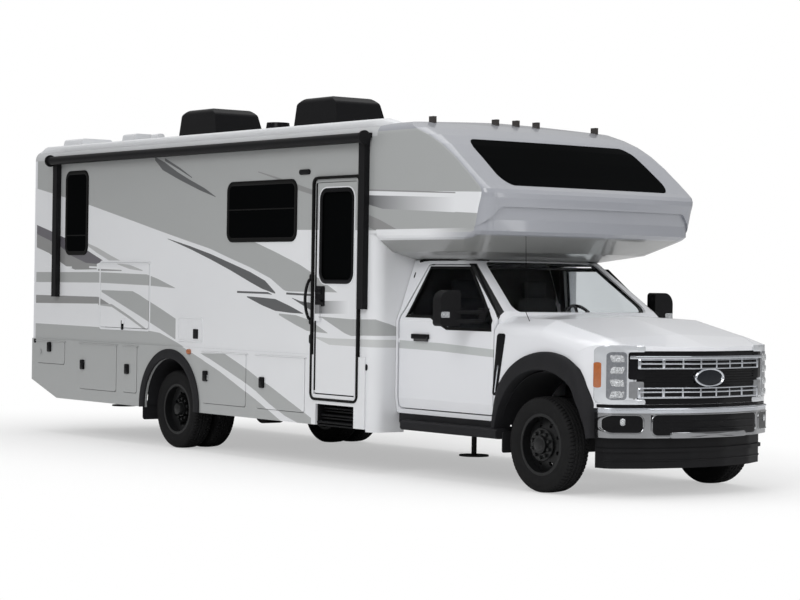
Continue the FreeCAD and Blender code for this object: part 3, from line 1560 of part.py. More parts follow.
def skirt(side, lockers):
    """One side's skirt below the belt line, cut for the wheel arch, the lockers and the entry."""
    rear = coach_rear_x
    front = aft(coach_front_aft) - coach_corner_radius
    corners = [
        (front, skirt_low, 0), (front, skirt_top_z, 0), (rear, skirt_top_z, 0),
        (rear, skirt_rear_kick_z, 0), (aft(skirt_rear_kick_aft), skirt_low, 0),
    ]
    outer = side * skirt_half_width
    inner = side * (skirt_half_width - skirt_thickness)
    lower = slab_xz(corners, inner, outer)
    upper = block(rear, front, side * coach_half_width, outer, belt_z, skirt_top_z)
    plate = lower.cut(block(rear - overrun, front + overrun, inner, side * coach_half_width, belt_z, roof_edge_z))
    whole = plate.fuse(upper)
    cuts = [disc_y(rear_axle_x, side * (skirt_half_width - skirt_thickness * 2), side * mirror_half_span,
                   rear_flare_centre_z, rear_flare_inner)]
    for name, x0, x1, z0, z1 in lockers:
        cuts.append(slab_xz(locker_outline(x0, x1, z0, z1, 0), side * (skirt_half_width - skirt_thickness * 2),
                            side * mirror_half_span))
    if side < 0:
        cuts.append(block(aft(entry_rear_aft), aft(entry_front_aft) + entry_barrel_radius * 2, -mirror_half_span,
                          -skirt_half_width + skirt_thickness * 2, entry_low - entry_gap, overall_length))
        cuts.append(block(aft(step_unit_rear_aft), aft(step_unit_front_aft), -mirror_half_span,
                          -skirt_half_width + skirt_thickness * 2, 0, step_unit_high))
    lugs_here = [entry_hinge()[2]] if side < 0 else []
    for name, x0, x1, z0, z1 in lockers:
        lugs_here += locker_hinge(side, x0, x1, z0, z1)[1]
    return largest(whole.cut(cuts).fuse(lugs_here))


def locker_box(side, x0, x1, z0, z1):
    """One hollow bay behind a locker door."""
    mouth = side * (skirt_half_width - skirt_thickness)
    back = side * (skirt_half_width - skirt_thickness - locker_depth)
    outer = block(aft(x1) - locker_wall, aft(x0) + locker_wall, mouth, back, z0 - locker_wall, floor_low)
    inner = block(aft(x1), aft(x0), mouth, back - side * locker_wall * -1, z0, floor_low - locker_wall)
    return outer.cut(inner)


def lockers():
    """All the bays under the floor and the outside kitchen's box."""
    boxes = []
    for side, doors in ((-1, right_lockers), (1, left_lockers)):
        for name, x0, x1, z0, z1 in doors:
            boxes.append(locker_box(side, x0, x1, z0, z1))
    mouth = -coach_half_width + coach_wall
    back = mouth + kitchen_depth
    outer = block(aft(kitchen_rear_aft) - locker_wall, aft(kitchen_front_aft) + locker_wall, mouth, back,
                  floor_high, kitchen_high + locker_wall)
    inner = block(aft(kitchen_rear_aft), aft(kitchen_front_aft), mouth, back - locker_wall, kitchen_low, kitchen_high)
    boxes.append(outer.cut(inner))
    return boxes


def top_hinge(side, x0, x1, top, face, rest):
    """A top hinge's door barrel and the two fixed lugs at its ends: face is the leaf's outer Y, rest the wall's."""
    y = face + side * locker_hinge_out
    near = aft(x1) + fit_gap
    far = aft(x0) - fit_gap
    barrel = rod(Vector(near, y, top), Vector(far, y, top), locker_barrel_radius)
    web = block(near, far, face, y, top - locker_barrel_radius, top)
    pieces = []
    for start, end in ((near - fit_gap - hinge_lug_length, near - fit_gap), (far + fit_gap, far + fit_gap + hinge_lug_length)):
        lug = rod(Vector(start, y, top), Vector(end, y, top), locker_barrel_radius)
        foot = block(start, end, rest, y, top, top + locker_barrel_radius)
        pieces.append(lug.fuse(foot))
    return barrel.fuse(web), pieces


def locker_hinge(side, x0, x1, z0, z1):
    """The hinge of one locker door in the skirt."""
    face = side * (skirt_half_width + locker_door_proud)
    return top_hinge(side, x0, x1, z1 - locker_gap, face, side * skirt_half_width)


def kitchen_hinge():
    """The hinge of the outside kitchen's door in the right wall."""
    face = -coach_half_width - locker_door_proud
    return top_hinge(-1, kitchen_front_aft, kitchen_rear_aft, kitchen_high - locker_gap, face, -coach_half_width)


def entry_hinge():
    """The entry door's barrel and its two fixed lugs, above and below."""
    x = aft(entry_front_aft + entry_gap / 2)
    face = -coach_half_width - entry_proud
    y = face - entry_hinge_out
    low = entry_low + entry_gap
    high = entry_high - entry_gap
    barrel = rod(Vector(x, y, low), Vector(x, y, high), entry_barrel_radius)
    web = block(x - entry_barrel_radius, x - entry_gap / 2, face, y, low, high)
    upper = rod(Vector(x, y, high + fit_gap), Vector(x, y, high + fit_gap + hinge_lug_length), entry_barrel_radius)
    upper = upper.fuse(block(x - entry_barrel_radius, x + entry_barrel_radius, -coach_half_width, y,
                             entry_high, high + fit_gap + hinge_lug_length))
    lower = rod(Vector(x, y, low - fit_gap - hinge_lug_length), Vector(x, y, low - fit_gap), entry_barrel_radius)
    lower = lower.fuse(block(x - entry_barrel_radius, x + entry_barrel_radius, -skirt_half_width, y,
                             low - fit_gap - hinge_lug_length, entry_low - entry_gap))
    return barrel.fuse(web), upper, lower


def locker_door(side, x0, x1, z0, z1):
    """One locker door in the skirt, with its latch."""
    outer = side * (skirt_half_width + locker_door_proud)
    inner = side * (skirt_half_width - skirt_thickness)
    leaf = slab_xz(locker_outline(x0, x1, z0, z1, locker_gap), inner, outer)
    latch_x = aft(x1) + latch_inset
    latch_z = (z0 + z1) / 2
    latch = block(latch_x - latch_half, latch_x + latch_half, outer, outer + side * latch_proud,
                  latch_z - latch_half, latch_z + latch_half)
    return joined([leaf, latch, locker_hinge(side, x0, x1, z0, z1)[0]])


def kitchen_door():
    """The outside kitchen's door in the right wall."""
    outer = -coach_half_width - locker_door_proud
    inner = -coach_half_width + coach_wall
    leaf = slab_xz(locker_outline(kitchen_front_aft, kitchen_rear_aft, kitchen_low, kitchen_high, locker_gap), inner, outer)
    latch_x = aft((kitchen_front_aft + kitchen_rear_aft) / 2)
    latch_z = kitchen_low + latch_inset
    latch = block(latch_x - latch_half, latch_x + latch_half, outer, outer - latch_proud, latch_z - latch_half,
                  latch_z + latch_half)
    return joined([leaf, latch, kitchen_hinge()[0]])


# Entry

def entry_pane_outline(inset):
    """The entry door's window corners."""
    return frame_outline(aft(entry_rear_aft) + entry_pane_margin + inset, aft(entry_front_aft) - entry_pane_margin - inset,
                         entry_pane_low + inset, entry_high - entry_pane_top_margin - inset, entry_pane_corner)


def entry_door():
    """The entry door's leaf with its window frame and latch."""
    outer = -coach_half_width - entry_proud
    inner = outer + entry_thickness
    leaf = slab_xz(frame_outline(aft(entry_rear_aft) + entry_gap, aft(entry_front_aft) - entry_gap,
                                 entry_low + entry_gap, entry_high - entry_gap, entry_corner), inner, outer)
    leaf = leaf.cut(slab_xz(entry_pane_outline(0), inner + overrun, outer - overrun))
    latch = block(aft(entry_latch_aft + entry_latch_width), aft(entry_latch_aft), outer, outer - entry_latch_proud,
                  entry_latch_low, entry_latch_low + entry_latch_height)
    return joined([leaf, latch, entry_hinge()[0]])


def entry_door_glass():
    """The entry door's pane."""
    outer = -coach_half_width - entry_proud
    return slab_xz(entry_pane_outline(0), outer + glass_inset, outer + glass_inset + glass_thickness * 2)


def entry_step():
    """The folded step under the entry door, hung from the step well."""
    front = aft(step_unit_front_aft) - fit_gap * 10
    rear = aft(step_unit_rear_aft) + fit_gap * 10
    outer = -skirt_half_width + skirt_thickness
    housing = block(rear, front, outer, outer + step_unit_depth, step_unit_low, entry_low - step_well_wall)
    hollow = block(rear + step_well_wall, front - step_well_wall, outer - overrun, outer + step_unit_depth - step_well_wall,
                   step_unit_low + step_well_wall, step_unit_high - step_well_wall)
    pieces = [housing.cut(hollow)]
    count = step_slats
    pitch = (step_unit_high - step_unit_low) / count
    for i in range(1, count):
        z = step_unit_low + pitch * i
        pieces.append(block(rear, front, outer, outer + step_unit_depth - overrun, z, z + step_slat))
    return joined(pieces)


def grab_handle():
    """The bow handle beside the entry door."""
    x = aft(grab_aft)
    wall = -coach_half_width
    out = wall - grab_out
    bar = rod(Vector(x, out, grab_low), Vector(x, out, grab_high), grab_radius)
    feet = []
    for z in (grab_low, grab_high):
        feet.append(rod(Vector(x, wall, z), Vector(x, out, z), grab_radius))
        feet.append(Part.makeSphere(grab_radius, Vector(x, out, z)))
    return joined([bar] + feet)


# Awning

def awning():
    """The rolled awning on the right wall: tube, heads, arms and wall rail, closed."""
    y = -coach_half_width - awning_tube_out
    front = aft(awning_front_aft)
    rear = aft(awning_rear_aft)
    tube = rod(Vector(rear, y, awning_tube_z), Vector(front, y, awning_tube_z), awning_tube_radius)
    rail = block(rear, front, -coach_half_width, -coach_half_width - awning_rail, awning_tube_z,
                 awning_tube_z + awning_tube_radius)
    link = block(rear, front, -coach_half_width, y, awning_tube_z + awning_tube_radius / 2,
                 awning_tube_z + awning_tube_radius)
    pieces = [tube, rail, link]
    for x in (front, rear):
        inward = -1 if x > 0 else 1
        pieces.append(rod(Vector(x, y, awning_tube_z), Vector(x + inward * awning_rail, y, awning_tube_z),
                          awning_head_radius))
    for station, low in ((awning_front_aft, awning_arm_low), (awning_rear_aft, awning_arm_low + awning_arm_step)):
        toward = 1 if station > coach_front_aft * 2 else -1
        x = aft(station) + toward * awning_arm_inset
        pieces.append(block(x - awning_arm_width / 2, x + awning_arm_width / 2, -coach_half_width,
                            -coach_half_width - awning_arm_depth, low, awning_tube_z))
    return joined(pieces)


# Roof

def rooftop_cooler(front_aft):
    """One air conditioner's shroud: sloped nose, rounded top and a stepped tail."""
    front = aft(front_aft)
    rear = front - cooler_length
    side = slab_xz([
        (front, cooler_low, 0), (front - cooler_nose_run, cooler_high - cooler_nose_drop, cooler_corner),
        (front - cooler_nose_run * 2, cooler_high, cooler_corner),
        (rear + cooler_nose_run, cooler_high, cooler_corner), (rear, cooler_high - cooler_tail_drop, cooler_corner / 2),
        (rear, cooler_low, 0)], -cooler_half_width, cooler_half_width)
    across_shape = slab_yz([(-cooler_half_width, cooler_low, 0), (cooler_half_width, cooler_low, 0),
                            (cooler_half_width - cooler_tail_drop, cooler_high, cooler_corner),
                            (-cooler_half_width + cooler_tail_drop, cooler_high, cooler_corner)], rear, front)
    return largest(side.common(across_shape).cut(coach_section(0, rear - overrun, front + overrun)))


def roof_dome():
    """The low round antenna housing between the air conditioners."""
    body = Part.makeCone(dome_radius, dome_radius * dome_top_share, dome_high - cooler_low,
                         Vector(aft(dome_aft), 0, cooler_low))
    return largest(body.cut(coach_section(0, aft(dome_aft) - dome_radius * 2, aft(dome_aft) + dome_radius * 2)))


def roof_vent(station, right, half, high):
    """One square vent lid, right of the centre plane."""
    x = aft(station)
    lid = slab_yz([(-right - half, cooler_low - overrun, 0), (-right + half, cooler_low - overrun, 0),
                   (-right + half - vent_slope, high, vent_slope),
                   (-right - half + vent_slope, high, vent_slope)], x - half, x + half)
    return largest(lid.cut(coach_section(0, x - half - overrun, x + half + overrun)))


def roof_markers():
    """The five small marker lamps on the nose."""
    lamps = []
    cap = nose_volume(0)
    for y in marker_stations:
        x = aft(marker_aft)
        box = block(x - marker_length / 2, x + marker_length / 2, y - marker_width / 2, y + marker_width / 2,
                    roof_edge_z - overrun * 2, marker_top_z - marker_fall * abs(y) / coach_half_width)
        lamps.append(largest(box.cut(cap)))
    return lamps


# Rear

def rear_bumper():
    """The rear bumper beam across the foot of the rear wall."""
    return slab_yz(frame_outline(-rear_bumper_half, rear_bumper_half, rear_bumper_low, rear_bumper_high, rear_bumper_corner),
                   -overall_length / 2, coach_rear_x)


def tail_lamp(side):
    """One tall tail lamp on the rear wall."""
    outline = frame_outline(min(side * tail_lamp_inner, side * tail_lamp_outer), max(side * tail_lamp_inner, side * tail_lamp_outer),
                            tail_lamp_low, tail_lamp_high, tail_lamp_corner)
    return slab_yz(outline, coach_rear_x - tail_lamp_proud, coach_rear_x)


def hitch():
    """The receiver tube under the rear, with its cross tube and hangers."""
    outer = receiver_inner + receiver_wall
    rear = -overall_length / 2 + receiver_inset
    front = rear + receiver_length
    tube = block(rear, front, -outer, outer, receiver_z - outer, receiver_z + outer)
    bar = block(front - receiver_bar, front, -rail_outer, rail_outer, receiver_z - outer, receiver_z + outer)
    pieces = [tube.fuse(bar)]
    for side in (-1, 1):
        pieces.append(block(front - receiver_bar, front, side * rail_inner, side * rail_outer, receiver_z,
                            rail_low - fit_gap))
    slot = block(rear - overrun, front - receiver_bar, -receiver_inner, receiver_inner, receiver_z - receiver_inner,
                 receiver_z + receiver_inner)
    pin = disc_y(rear + receiver_pin_inset, -outer - overrun, outer + overrun, receiver_z, receiver_pin_radius)
    return joined(pieces).cut([slot, pin])


def jack_ram(x, side, foot_low):
    """One levelling jack's ram with its round foot."""
    y = side * jack_half
    foot = rod(Vector(x, y, foot_low), Vector(x, y, foot_low + jack_foot_thickness), jack_foot_radius)
    ram = rod(Vector(x, y, foot_low), Vector(x, y, jack_body_low + jack_rod_inside), jack_rod_radius)
    return foot.fuse(ram)


def save_all():
    """Builds every node and writes it."""
    for name, shape in wheels().items():
        save(name, shape)
    save("chassis_frame", chassis_frame())
    save("axles", Part.makeCompound([front_axle(), rear_axle()]))
    save("engine_block", engine_block())
    save("underbody_tanks", Part.makeCompound([tank(), exhaust()]))
    save("cab_shell", cab_shell())
    save("front_clip", front_clip())
    save("bonnet", bonnet())
    save("grille", grille())
    save("front_bumper", front_bumper())
    save("air_dam", air_dam())
    save("flares_and_boards", Part.makeCompound([both_sides(front_flare()), both_sides(rear_flare()), both_sides(running_board())]))
    save("cab_interior", Part.makeCompound([dashboard(), both_sides(cab_seat())]))
    save("coach_floor", coach_floor())
    save("coach_rear_wall", coach_rear_wall())
    save("coach_front_wall", coach_front_wall())
    save("coach_roof", coach_roof())
    save("nose_cap", nose_cap())
    save("fixed_glass", Part.makeCompound([windshield(), nose_glass()] + coach_windows()))
    save("lamps", Part.makeCompound([headlamp(-1), headlamp(1), tail_lamp(-1), tail_lamp(1)] + roof_markers()))
    save("skirts", Part.makeCompound([skirt(-1, right_lockers), skirt(1, left_lockers)]))
    save("lockers", Part.makeCompound(lockers()))
    save("entry_door", entry_door())
    save("entry_door_glass", entry_door_glass())
    save("entry_step_and_handle", Part.makeCompound([entry_step(), grab_handle()]))
    save("awning", awning())
    save("rooftop_units", Part.makeCompound([rooftop_cooler(cooler_front_aft), rooftop_cooler(cooler_second_aft), roof_dome()]))
    save("roof_vents", Part.makeCompound([roof_vent(*place) for place in vent_places]))
    save("rear_bumper", rear_bumper())
    save("coach_wall_right", coach_wall_piece(-1))
    save("coach_wall_left", coach_wall_piece(1))
    for word, side in (("right", -1), ("left", 1)):
        save("knuckle_" + word, knuckle(side))
        save("cab_door_" + word, cab_door(side))
        save("cab_door_glass_" + word, cab_door_glass(side))
        save("mirror_" + word, mirror(side))
        save("jack_ram_front_" + word, jack_ram(aft(jack_front_aft), side, jack_foot_low_front))
        save("jack_ram_rear_" + word, jack_ram(aft(jack_rear_aft), side, jack_foot_low_rear))
    for side, doors in ((-1, right_lockers), (1, left_lockers)):
        for name, x0, x1, z0, z1 in doors:
            save(name, locker_door(side, x0, x1, z0, z1))
    save("kitchen_door", kitchen_door())


if __name__ == "__main__":
    os.makedirs("parts", exist_ok=True)
    save_all()
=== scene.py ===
"""A cab-over motorhome: paint, lamps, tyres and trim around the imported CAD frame.

Everything is in metres in the row frame: x forward, y left, z up, ground at z = 0.
"""

import math

import bpy
import numpy as np
from mathutils import Matrix, Vector

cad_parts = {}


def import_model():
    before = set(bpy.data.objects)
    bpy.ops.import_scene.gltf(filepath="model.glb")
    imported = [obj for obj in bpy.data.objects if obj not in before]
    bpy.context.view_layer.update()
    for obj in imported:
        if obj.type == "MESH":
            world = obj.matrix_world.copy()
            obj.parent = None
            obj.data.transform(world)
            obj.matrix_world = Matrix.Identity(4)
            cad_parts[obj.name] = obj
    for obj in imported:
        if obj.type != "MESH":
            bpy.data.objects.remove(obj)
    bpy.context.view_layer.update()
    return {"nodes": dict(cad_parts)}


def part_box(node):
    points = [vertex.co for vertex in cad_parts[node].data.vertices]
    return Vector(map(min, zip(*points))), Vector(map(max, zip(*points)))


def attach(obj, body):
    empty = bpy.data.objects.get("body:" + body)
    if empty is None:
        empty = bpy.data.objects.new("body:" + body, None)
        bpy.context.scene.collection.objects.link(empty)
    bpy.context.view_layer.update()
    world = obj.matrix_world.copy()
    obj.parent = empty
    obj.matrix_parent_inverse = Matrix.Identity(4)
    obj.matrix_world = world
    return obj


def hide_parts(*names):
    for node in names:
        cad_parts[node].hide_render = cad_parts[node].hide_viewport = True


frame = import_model()
nodes = frame["nodes"]

# Where the photograph was taken from
camera_place = Vector((17.999, -13.202, 1.718))
camera_yaw = math.radians(142.968)
camera_pitch = math.radians(-0.361)
camera_roll = math.radians(0.874)
focal_pixels = 2216.4
image_width = 800.0
sensor_mm = 36.0

# Driving places, read from the frame
front_axle_x = sum(corner.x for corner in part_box("front_rim_right")) / 2
rear_axle_x = sum(corner.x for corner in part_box("rear_rims_right")) / 2
coach_rear_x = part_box("coach_rear_wall")[0].x
coach_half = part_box("coach_wall_left")[1].y

# Colours, linear
white_paint = (0.73, 0.74, 0.76)
stripe_grey = (0.355, 0.365, 0.365)
stripe_mid = (0.24, 0.242, 0.242)
stripe_pale = (0.43, 0.435, 0.44)
stripe_dark = (0.085, 0.088, 0.092)
stripe_slate = (0.11, 0.105, 0.12)
stripe_light = (0.52, 0.53, 0.53)
band_silver = (0.46, 0.48, 0.48)
cab_white = (0.74, 0.75, 0.78)
nose_silver = (0.3, 0.31, 0.34)
# Painted shade: the nose's underside, seen from below, darkened from the silver
nose_under_painted_shade = (0.26, 0.265, 0.26)
plastic_black = (0.0095, 0.0095, 0.0105)
lens_bright = (0.62, 0.64, 0.67)
amber = (0.42, 0.12, 0.03)
amber_dark = (0.035, 0.03, 0.028)
tail_red = (0.35, 0.015, 0.012)
trim_dark = (0.012, 0.012, 0.013)
chrome_bright = (0.62, 0.645, 0.69)
# Painted reflection: chrome darkened where the bumper's lower half mirrors the ground
chrome_painted_reflection = (0.27, 0.275, 0.285)
glass_dark = (0.0025, 0.0028, 0.003)
glass_clear = (0.9, 0.91, 0.91)

# Places in the row frame, metres; ranges are (low, high), and y is taken without its sign
corner_start_x = 1.6
cab_half = 1.01
door_band_top = [(1.83, 1.225), (2.43, 1.215), (3.2, 1.181)]
door_band_bottom = [(1.84, 1.151), (2.43, 1.143), (3.2, 1.112)]
cab_side = (cab_half - 0.09, cab_half + 0.1)
door_handle_box = {"x": (2.0, 2.4), "y": (cab_half + 0.002, cab_half + 0.1), "z": (1.2, 1.3)}
# The cab's inside: its side leans in above the waist, its front follows the windshield
cab_room = {"x": (1.87, 3.3), "z": (0.62, 1.93)}
room_half = 0.965
room_waist_z = 1.462
room_side_lean = 0.3755
room_front_x = 3.185
room_front_z = 1.512
room_front_lean = 1.3634
room_front_limit = 3.19
nose_side = (coach_half - 0.004, coach_half + 0.1)
nose_foot = {"y": (coach_half - 0.05, coach_half + 0.1), "z": (1.9, 2.228)}
nose_foot_fade = (2.45, 3.2)
# Where the nose's underside gets its painted shade
nose_underside_shade_box = {"y": (0.0, coach_half - 0.05), "z": (1.9, 2.165)}
lamp_front = (4.0, 5.0)
lens_span = (0.78, 0.916)
lens_heights = (0.812, 1.205)
inner_span = (0.6, lens_span[0])
inner_black_heights = (0.975, lens_heights[1])
inner_grey_heights = (lens_heights[0], 0.965)
amber_span = (0.933, 1.1)
amber_heights = (0.908, 1.121)
roof_marker_box = {"x": (-1.0, 4.0), "z": (3.0, 3.6)}
tail_lamp_box = {"x": (-5.5, -4.6)}
# Heights of the bumper's painted reflection band of darker chrome
bumper_reflection_heights = (0.3, 0.705)
windshield_box = {"x": (2.4, 3.6), "z": (1.3, 2.03)}

# Stripes on the coach sides, as lines of (x, z) points: name, colour, upper line, lower line.
# Later ones lie over earlier ones.
side_stripes = (
    ("grey field", stripe_grey, [(-4.95, 3.4), (1.2, 3.4)],
     [(-4.92, 2.795), (-4.08, 2.65), (-3.53, 2.555), (-2.65, 2.38), (-2.03, 2.255), (-1.49, 2.15), (-1.04, 2.065),
      (-0.67, 1.97), (-0.3, 1.88), (0.06, 1.775), (0.3, 1.66), (0.37, 1.65), (1.2, 1.65)]),
    ("front field", stripe_grey, [(1.2, 3.4), (3.6, 3.4)], [(1.2, 2.23), (3.6, 2.19)]),
    ("white wedge", white_paint, [(-0.31, 2.15), (0.39, 2.145), (0.46, 2.24), (1.2, 2.23)],
     [(-0.31, 2.15), (0.14, 2.03), (0.57, 1.905), (0.77, 1.83), (1.2, 1.65)]),
    ("long blade", stripe_dark, [(-1.87, 2.175), (-1.43, 2.095), (-1.04, 2.015), (-0.67, 1.925), (-0.3, 1.835),
                                 (-0.03, 1.75), (0.15, 1.64)],
     [(-1.87, 2.17), (-1.43, 2.065), (-1.04, 1.96), (-0.66, 1.85), (-0.3, 1.735), (-0.08, 1.67), (0.15, 1.625)]),
    ("short line", stripe_dark, [(-0.53, 1.645), (0.02, 1.64), (0.09, 1.62)],
     [(-0.53, 1.625), (0.02, 1.62), (0.09, 1.615)]),
    ("door line", stripe_dark, [(0.34, 1.64), (0.77, 1.63)], [(0.34, 1.62), (0.77, 1.61)]),
    ("door blade", stripe_dark, [(0.44, 1.59), (0.58, 1.56), (0.78, 1.545)],
     [(0.44, 1.585), (0.58, 1.535), (0.78, 1.47)]),
    ("middle blade", stripe_dark, [(-0.35, 1.595), (-0.08, 1.585), (0.15, 1.575), (0.41, 1.51), (0.63, 1.445)],
     [(-0.35, 1.585), (-0.08, 1.51), (0.15, 1.46), (0.41, 1.445), (0.63, 1.44)]),
    ("lower blade", stripe_grey, [(0.22, 1.435), (0.51, 1.425), (0.78, 1.375), (1.05, 1.27)],
     [(0.22, 1.42), (0.51, 1.33), (0.7, 1.28), (1.05, 1.265)]),
    ("corner blade", stripe_grey, [(0.94, 1.42), (1.43, 1.405), (1.78, 1.41), (1.95, 1.369), (2.24, 1.272)],
     [(0.94, 1.415), (1.32, 1.275), (1.43, 1.25), (1.62, 1.26), (2.24, 1.262)]),
    ("waist band", stripe_light, [(0.83, 1.23), (1.08, 1.22), (1.62, 1.225), (2.6, 1.225)],
     [(0.83, 1.225), (1.08, 1.16), (1.62, 1.155), (2.6, 1.15)]),
    ("top blade", stripe_dark, [(-2.15, 3.035), (-1.95, 2.97), (-1.69, 2.86), (-1.45, 2.775), (-1.16, 2.68),
                                (-0.95, 2.59)],
     [(-2.15, 3.0), (-1.99, 2.89), (-1.64, 2.775), (-1.25, 2.66), (-0.95, 2.585)]),
    ("top line", stripe_dark, [(-1.95, 3.015), (-1.65, 2.905), (-1.41, 2.8)],
     [(-1.95, 2.985), (-1.65, 2.88), (-1.41, 2.79)]),
    ("upper blade", stripe_mid, [(-0.18, 2.82), (0.12, 2.76), (0.46, 2.685), (0.76, 2.615)],
     [(-0.18, 2.81), (0.12, 2.74), (0.46, 2.63), (0.77, 2.565)]),
    ("rear blade", stripe_slate, [(-4.9, 2.385), (-4.47, 2.29), (-4.07, 2.195), (-3.63, 2.075), (-3.22, 1.945)],
     [(-4.9, 2.285), (-4.47, 2.18), (-4.21, 2.11), (-3.92, 1.995), (-3.6, 1.92), (-3.36, 1.91), (-3.22, 1.94)]),
    ("rear shade", stripe_mid, [(-4.9, 2.285), (-4.47, 2.18), (-4.21, 2.11), (-3.92, 1.995), (-3.6, 1.92),
                                (-3.36, 1.91)],
     [(-4.9, 2.13), (-4.46, 2.03), (-4.25, 1.95), (-4.06, 1.885), (-3.85, 1.845), (-3.36, 1.85)]),
    ("rear white line", white_paint, [(-4.55, 1.885), (-3.92, 1.88)], [(-4.55, 1.87), (-3.92, 1.865)]),
    ("kitchen white line", white_paint, [(-3.53, 1.885), (-2.9, 1.87)], [(-3.53, 1.865), (-2.9, 1.855)]),
    ("pale blade", stripe_pale, [(-3.63, 2.15), (-3.36, 2.09), (-3.07, 2.005), (-2.81, 1.935)],
     [(-3.63, 2.13), (-3.36, 2.03), (-3.07, 1.94), (-2.81, 1.93)]),
    ("kitchen line", stripe_mid, [(-3.33, 1.855), (-2.81, 1.845)], [(-3.33, 1.835), (-2.81, 1.835)]),
    ("kitchen blade", stripe_pale, [(-2.9, 1.915), (-2.64, 1.9), (-2.37, 1.845)],
     [(-2.9, 1.905), (-2.64, 1.855), (-2.37, 1.835)]),
    ("grey band", stripe_grey, [(-4.9, 1.815), (-3.33, 1.82), (-2.28, 1.8), (-2.06, 1.755), (-1.71, 1.665)],
     [(-4.9, 1.7), (-3.33, 1.705), (-2.28, 1.685), (-1.71, 1.66)]),
    ("dark band", stripe_mid, [(-4.9, 1.555), (-3.32, 1.55), (-3.21, 1.52), (-3.08, 1.48)],
     [(-4.9, 1.46), (-3.32, 1.475), (-3.08, 1.475)]),
    ("slant band", stripe_grey, [(-3.32, 1.475), (-3.01, 1.475), (-2.63, 1.355), (-2.25, 1.215)],
     [(-3.32, 1.46), (-3.01, 1.445), (-2.62, 1.32), (-2.25, 1.19)]),
    ("grey blade", stripe_grey, [(-3.24, 1.625), (-2.57, 1.62), (-2.42, 1.58), (-2.27, 1.53), (-2.01, 1.45),
                                 (-1.69, 1.345)],
     [(-3.24, 1.605), (-2.84, 1.485), (-2.42, 1.36), (-2.0, 1.23), (-1.69, 1.13)]),
    ("low grey", stripe_grey, [(-4.9, 1.23), (-3.31, 1.22), (-2.27, 1.21), (-2.0, 1.19), (-1.64, 1.095),
                               (-1.51, 1.055), (-1.18, 0.955), (-0.8, 0.835), (-0.43, 0.695), (-0.06, 0.555),
                               (0.34, 0.385)],
     [(-4.9, 0.2), (0.34, 0.2)]),
    ("skirt grey", stripe_grey, [(-1.18, 1.005), (-0.71, 1.015), (-0.38, 0.905), (-0.12, 0.805), (0.11, 0.73),
                                 (0.37, 0.63), (0.62, 0.535), (0.81, 0.46)],
     [(-1.18, 1.005), (-0.99, 0.955), (-0.71, 0.865), (-0.37, 0.755), (-0.12, 0.66), (0.11, 0.555), (0.37, 0.455),
      (0.63, 0.39), (0.81, 0.375)]),
    ("nose white", white_paint, [(1.6, 2.585), (3.3, 2.535)],
     [(1.6, 2.47), (1.87, 2.415), (2.72, 2.38), (3.3, 2.35)]),
    ("nose line", stripe_mid, [(1.6, 2.6), (2.93, 2.54)], [(1.6, 2.585), (2.93, 2.53)]),
    ("nose blade", stripe_mid, [(1.64, 2.37), (1.84, 2.315), (2.11, 2.22)],
     [(1.64, 2.26), (1.75, 2.225), (2.11, 2.215)]),
)
# Stripes that fade to white along x: name, dark colour, upper line, lower line
fading_stripes = (
    ("door fade", stripe_dark, [(0.83, 1.565), (1.39, 1.575)], [(0.83, 1.445), (1.39, 1.455)]),
    ("nose fade", stripe_dark, [(1.6, 2.545), (2.93, 2.495)], [(1.6, 2.47), (1.87, 2.415), (2.93, 2.365)]),
)


# Materials

# A Mix node's inputs that take the factor and the two colours, and its output that gives a colour
mix_inputs = (0, 6, 7)
mix_output = 2


def plug(node, socket, value):
    """Sets a node's input to a number or a colour, or links another node's output to it."""
    if isinstance(value, bpy.types.NodeSocket):
        node.id_data.links.new(value, node.inputs[socket])
    else:
        node.inputs[socket].default_value = value


def new_node(tree, kind, sockets=(), **settings):
    """A new node in tree; sockets pairs an input's name or number with what goes into it."""
    made = tree.nodes.new(kind)
    for key, value in settings.items():
        setattr(made, key, value)
    for socket, value in sockets:
        plug(made, socket, value)
    return made


def smooth_ramp(tree, value, span, start, end):
    """Value carried smoothly from start, at the low end of span, to end, at its high end."""
    sockets = (("Value", value), ("From Min", span[0]), ("From Max", span[1]), ("To Min", start), ("To Max", end))
    return new_node(tree, "ShaderNodeMapRange", sockets, interpolation_type="SMOOTHSTEP").outputs[0]


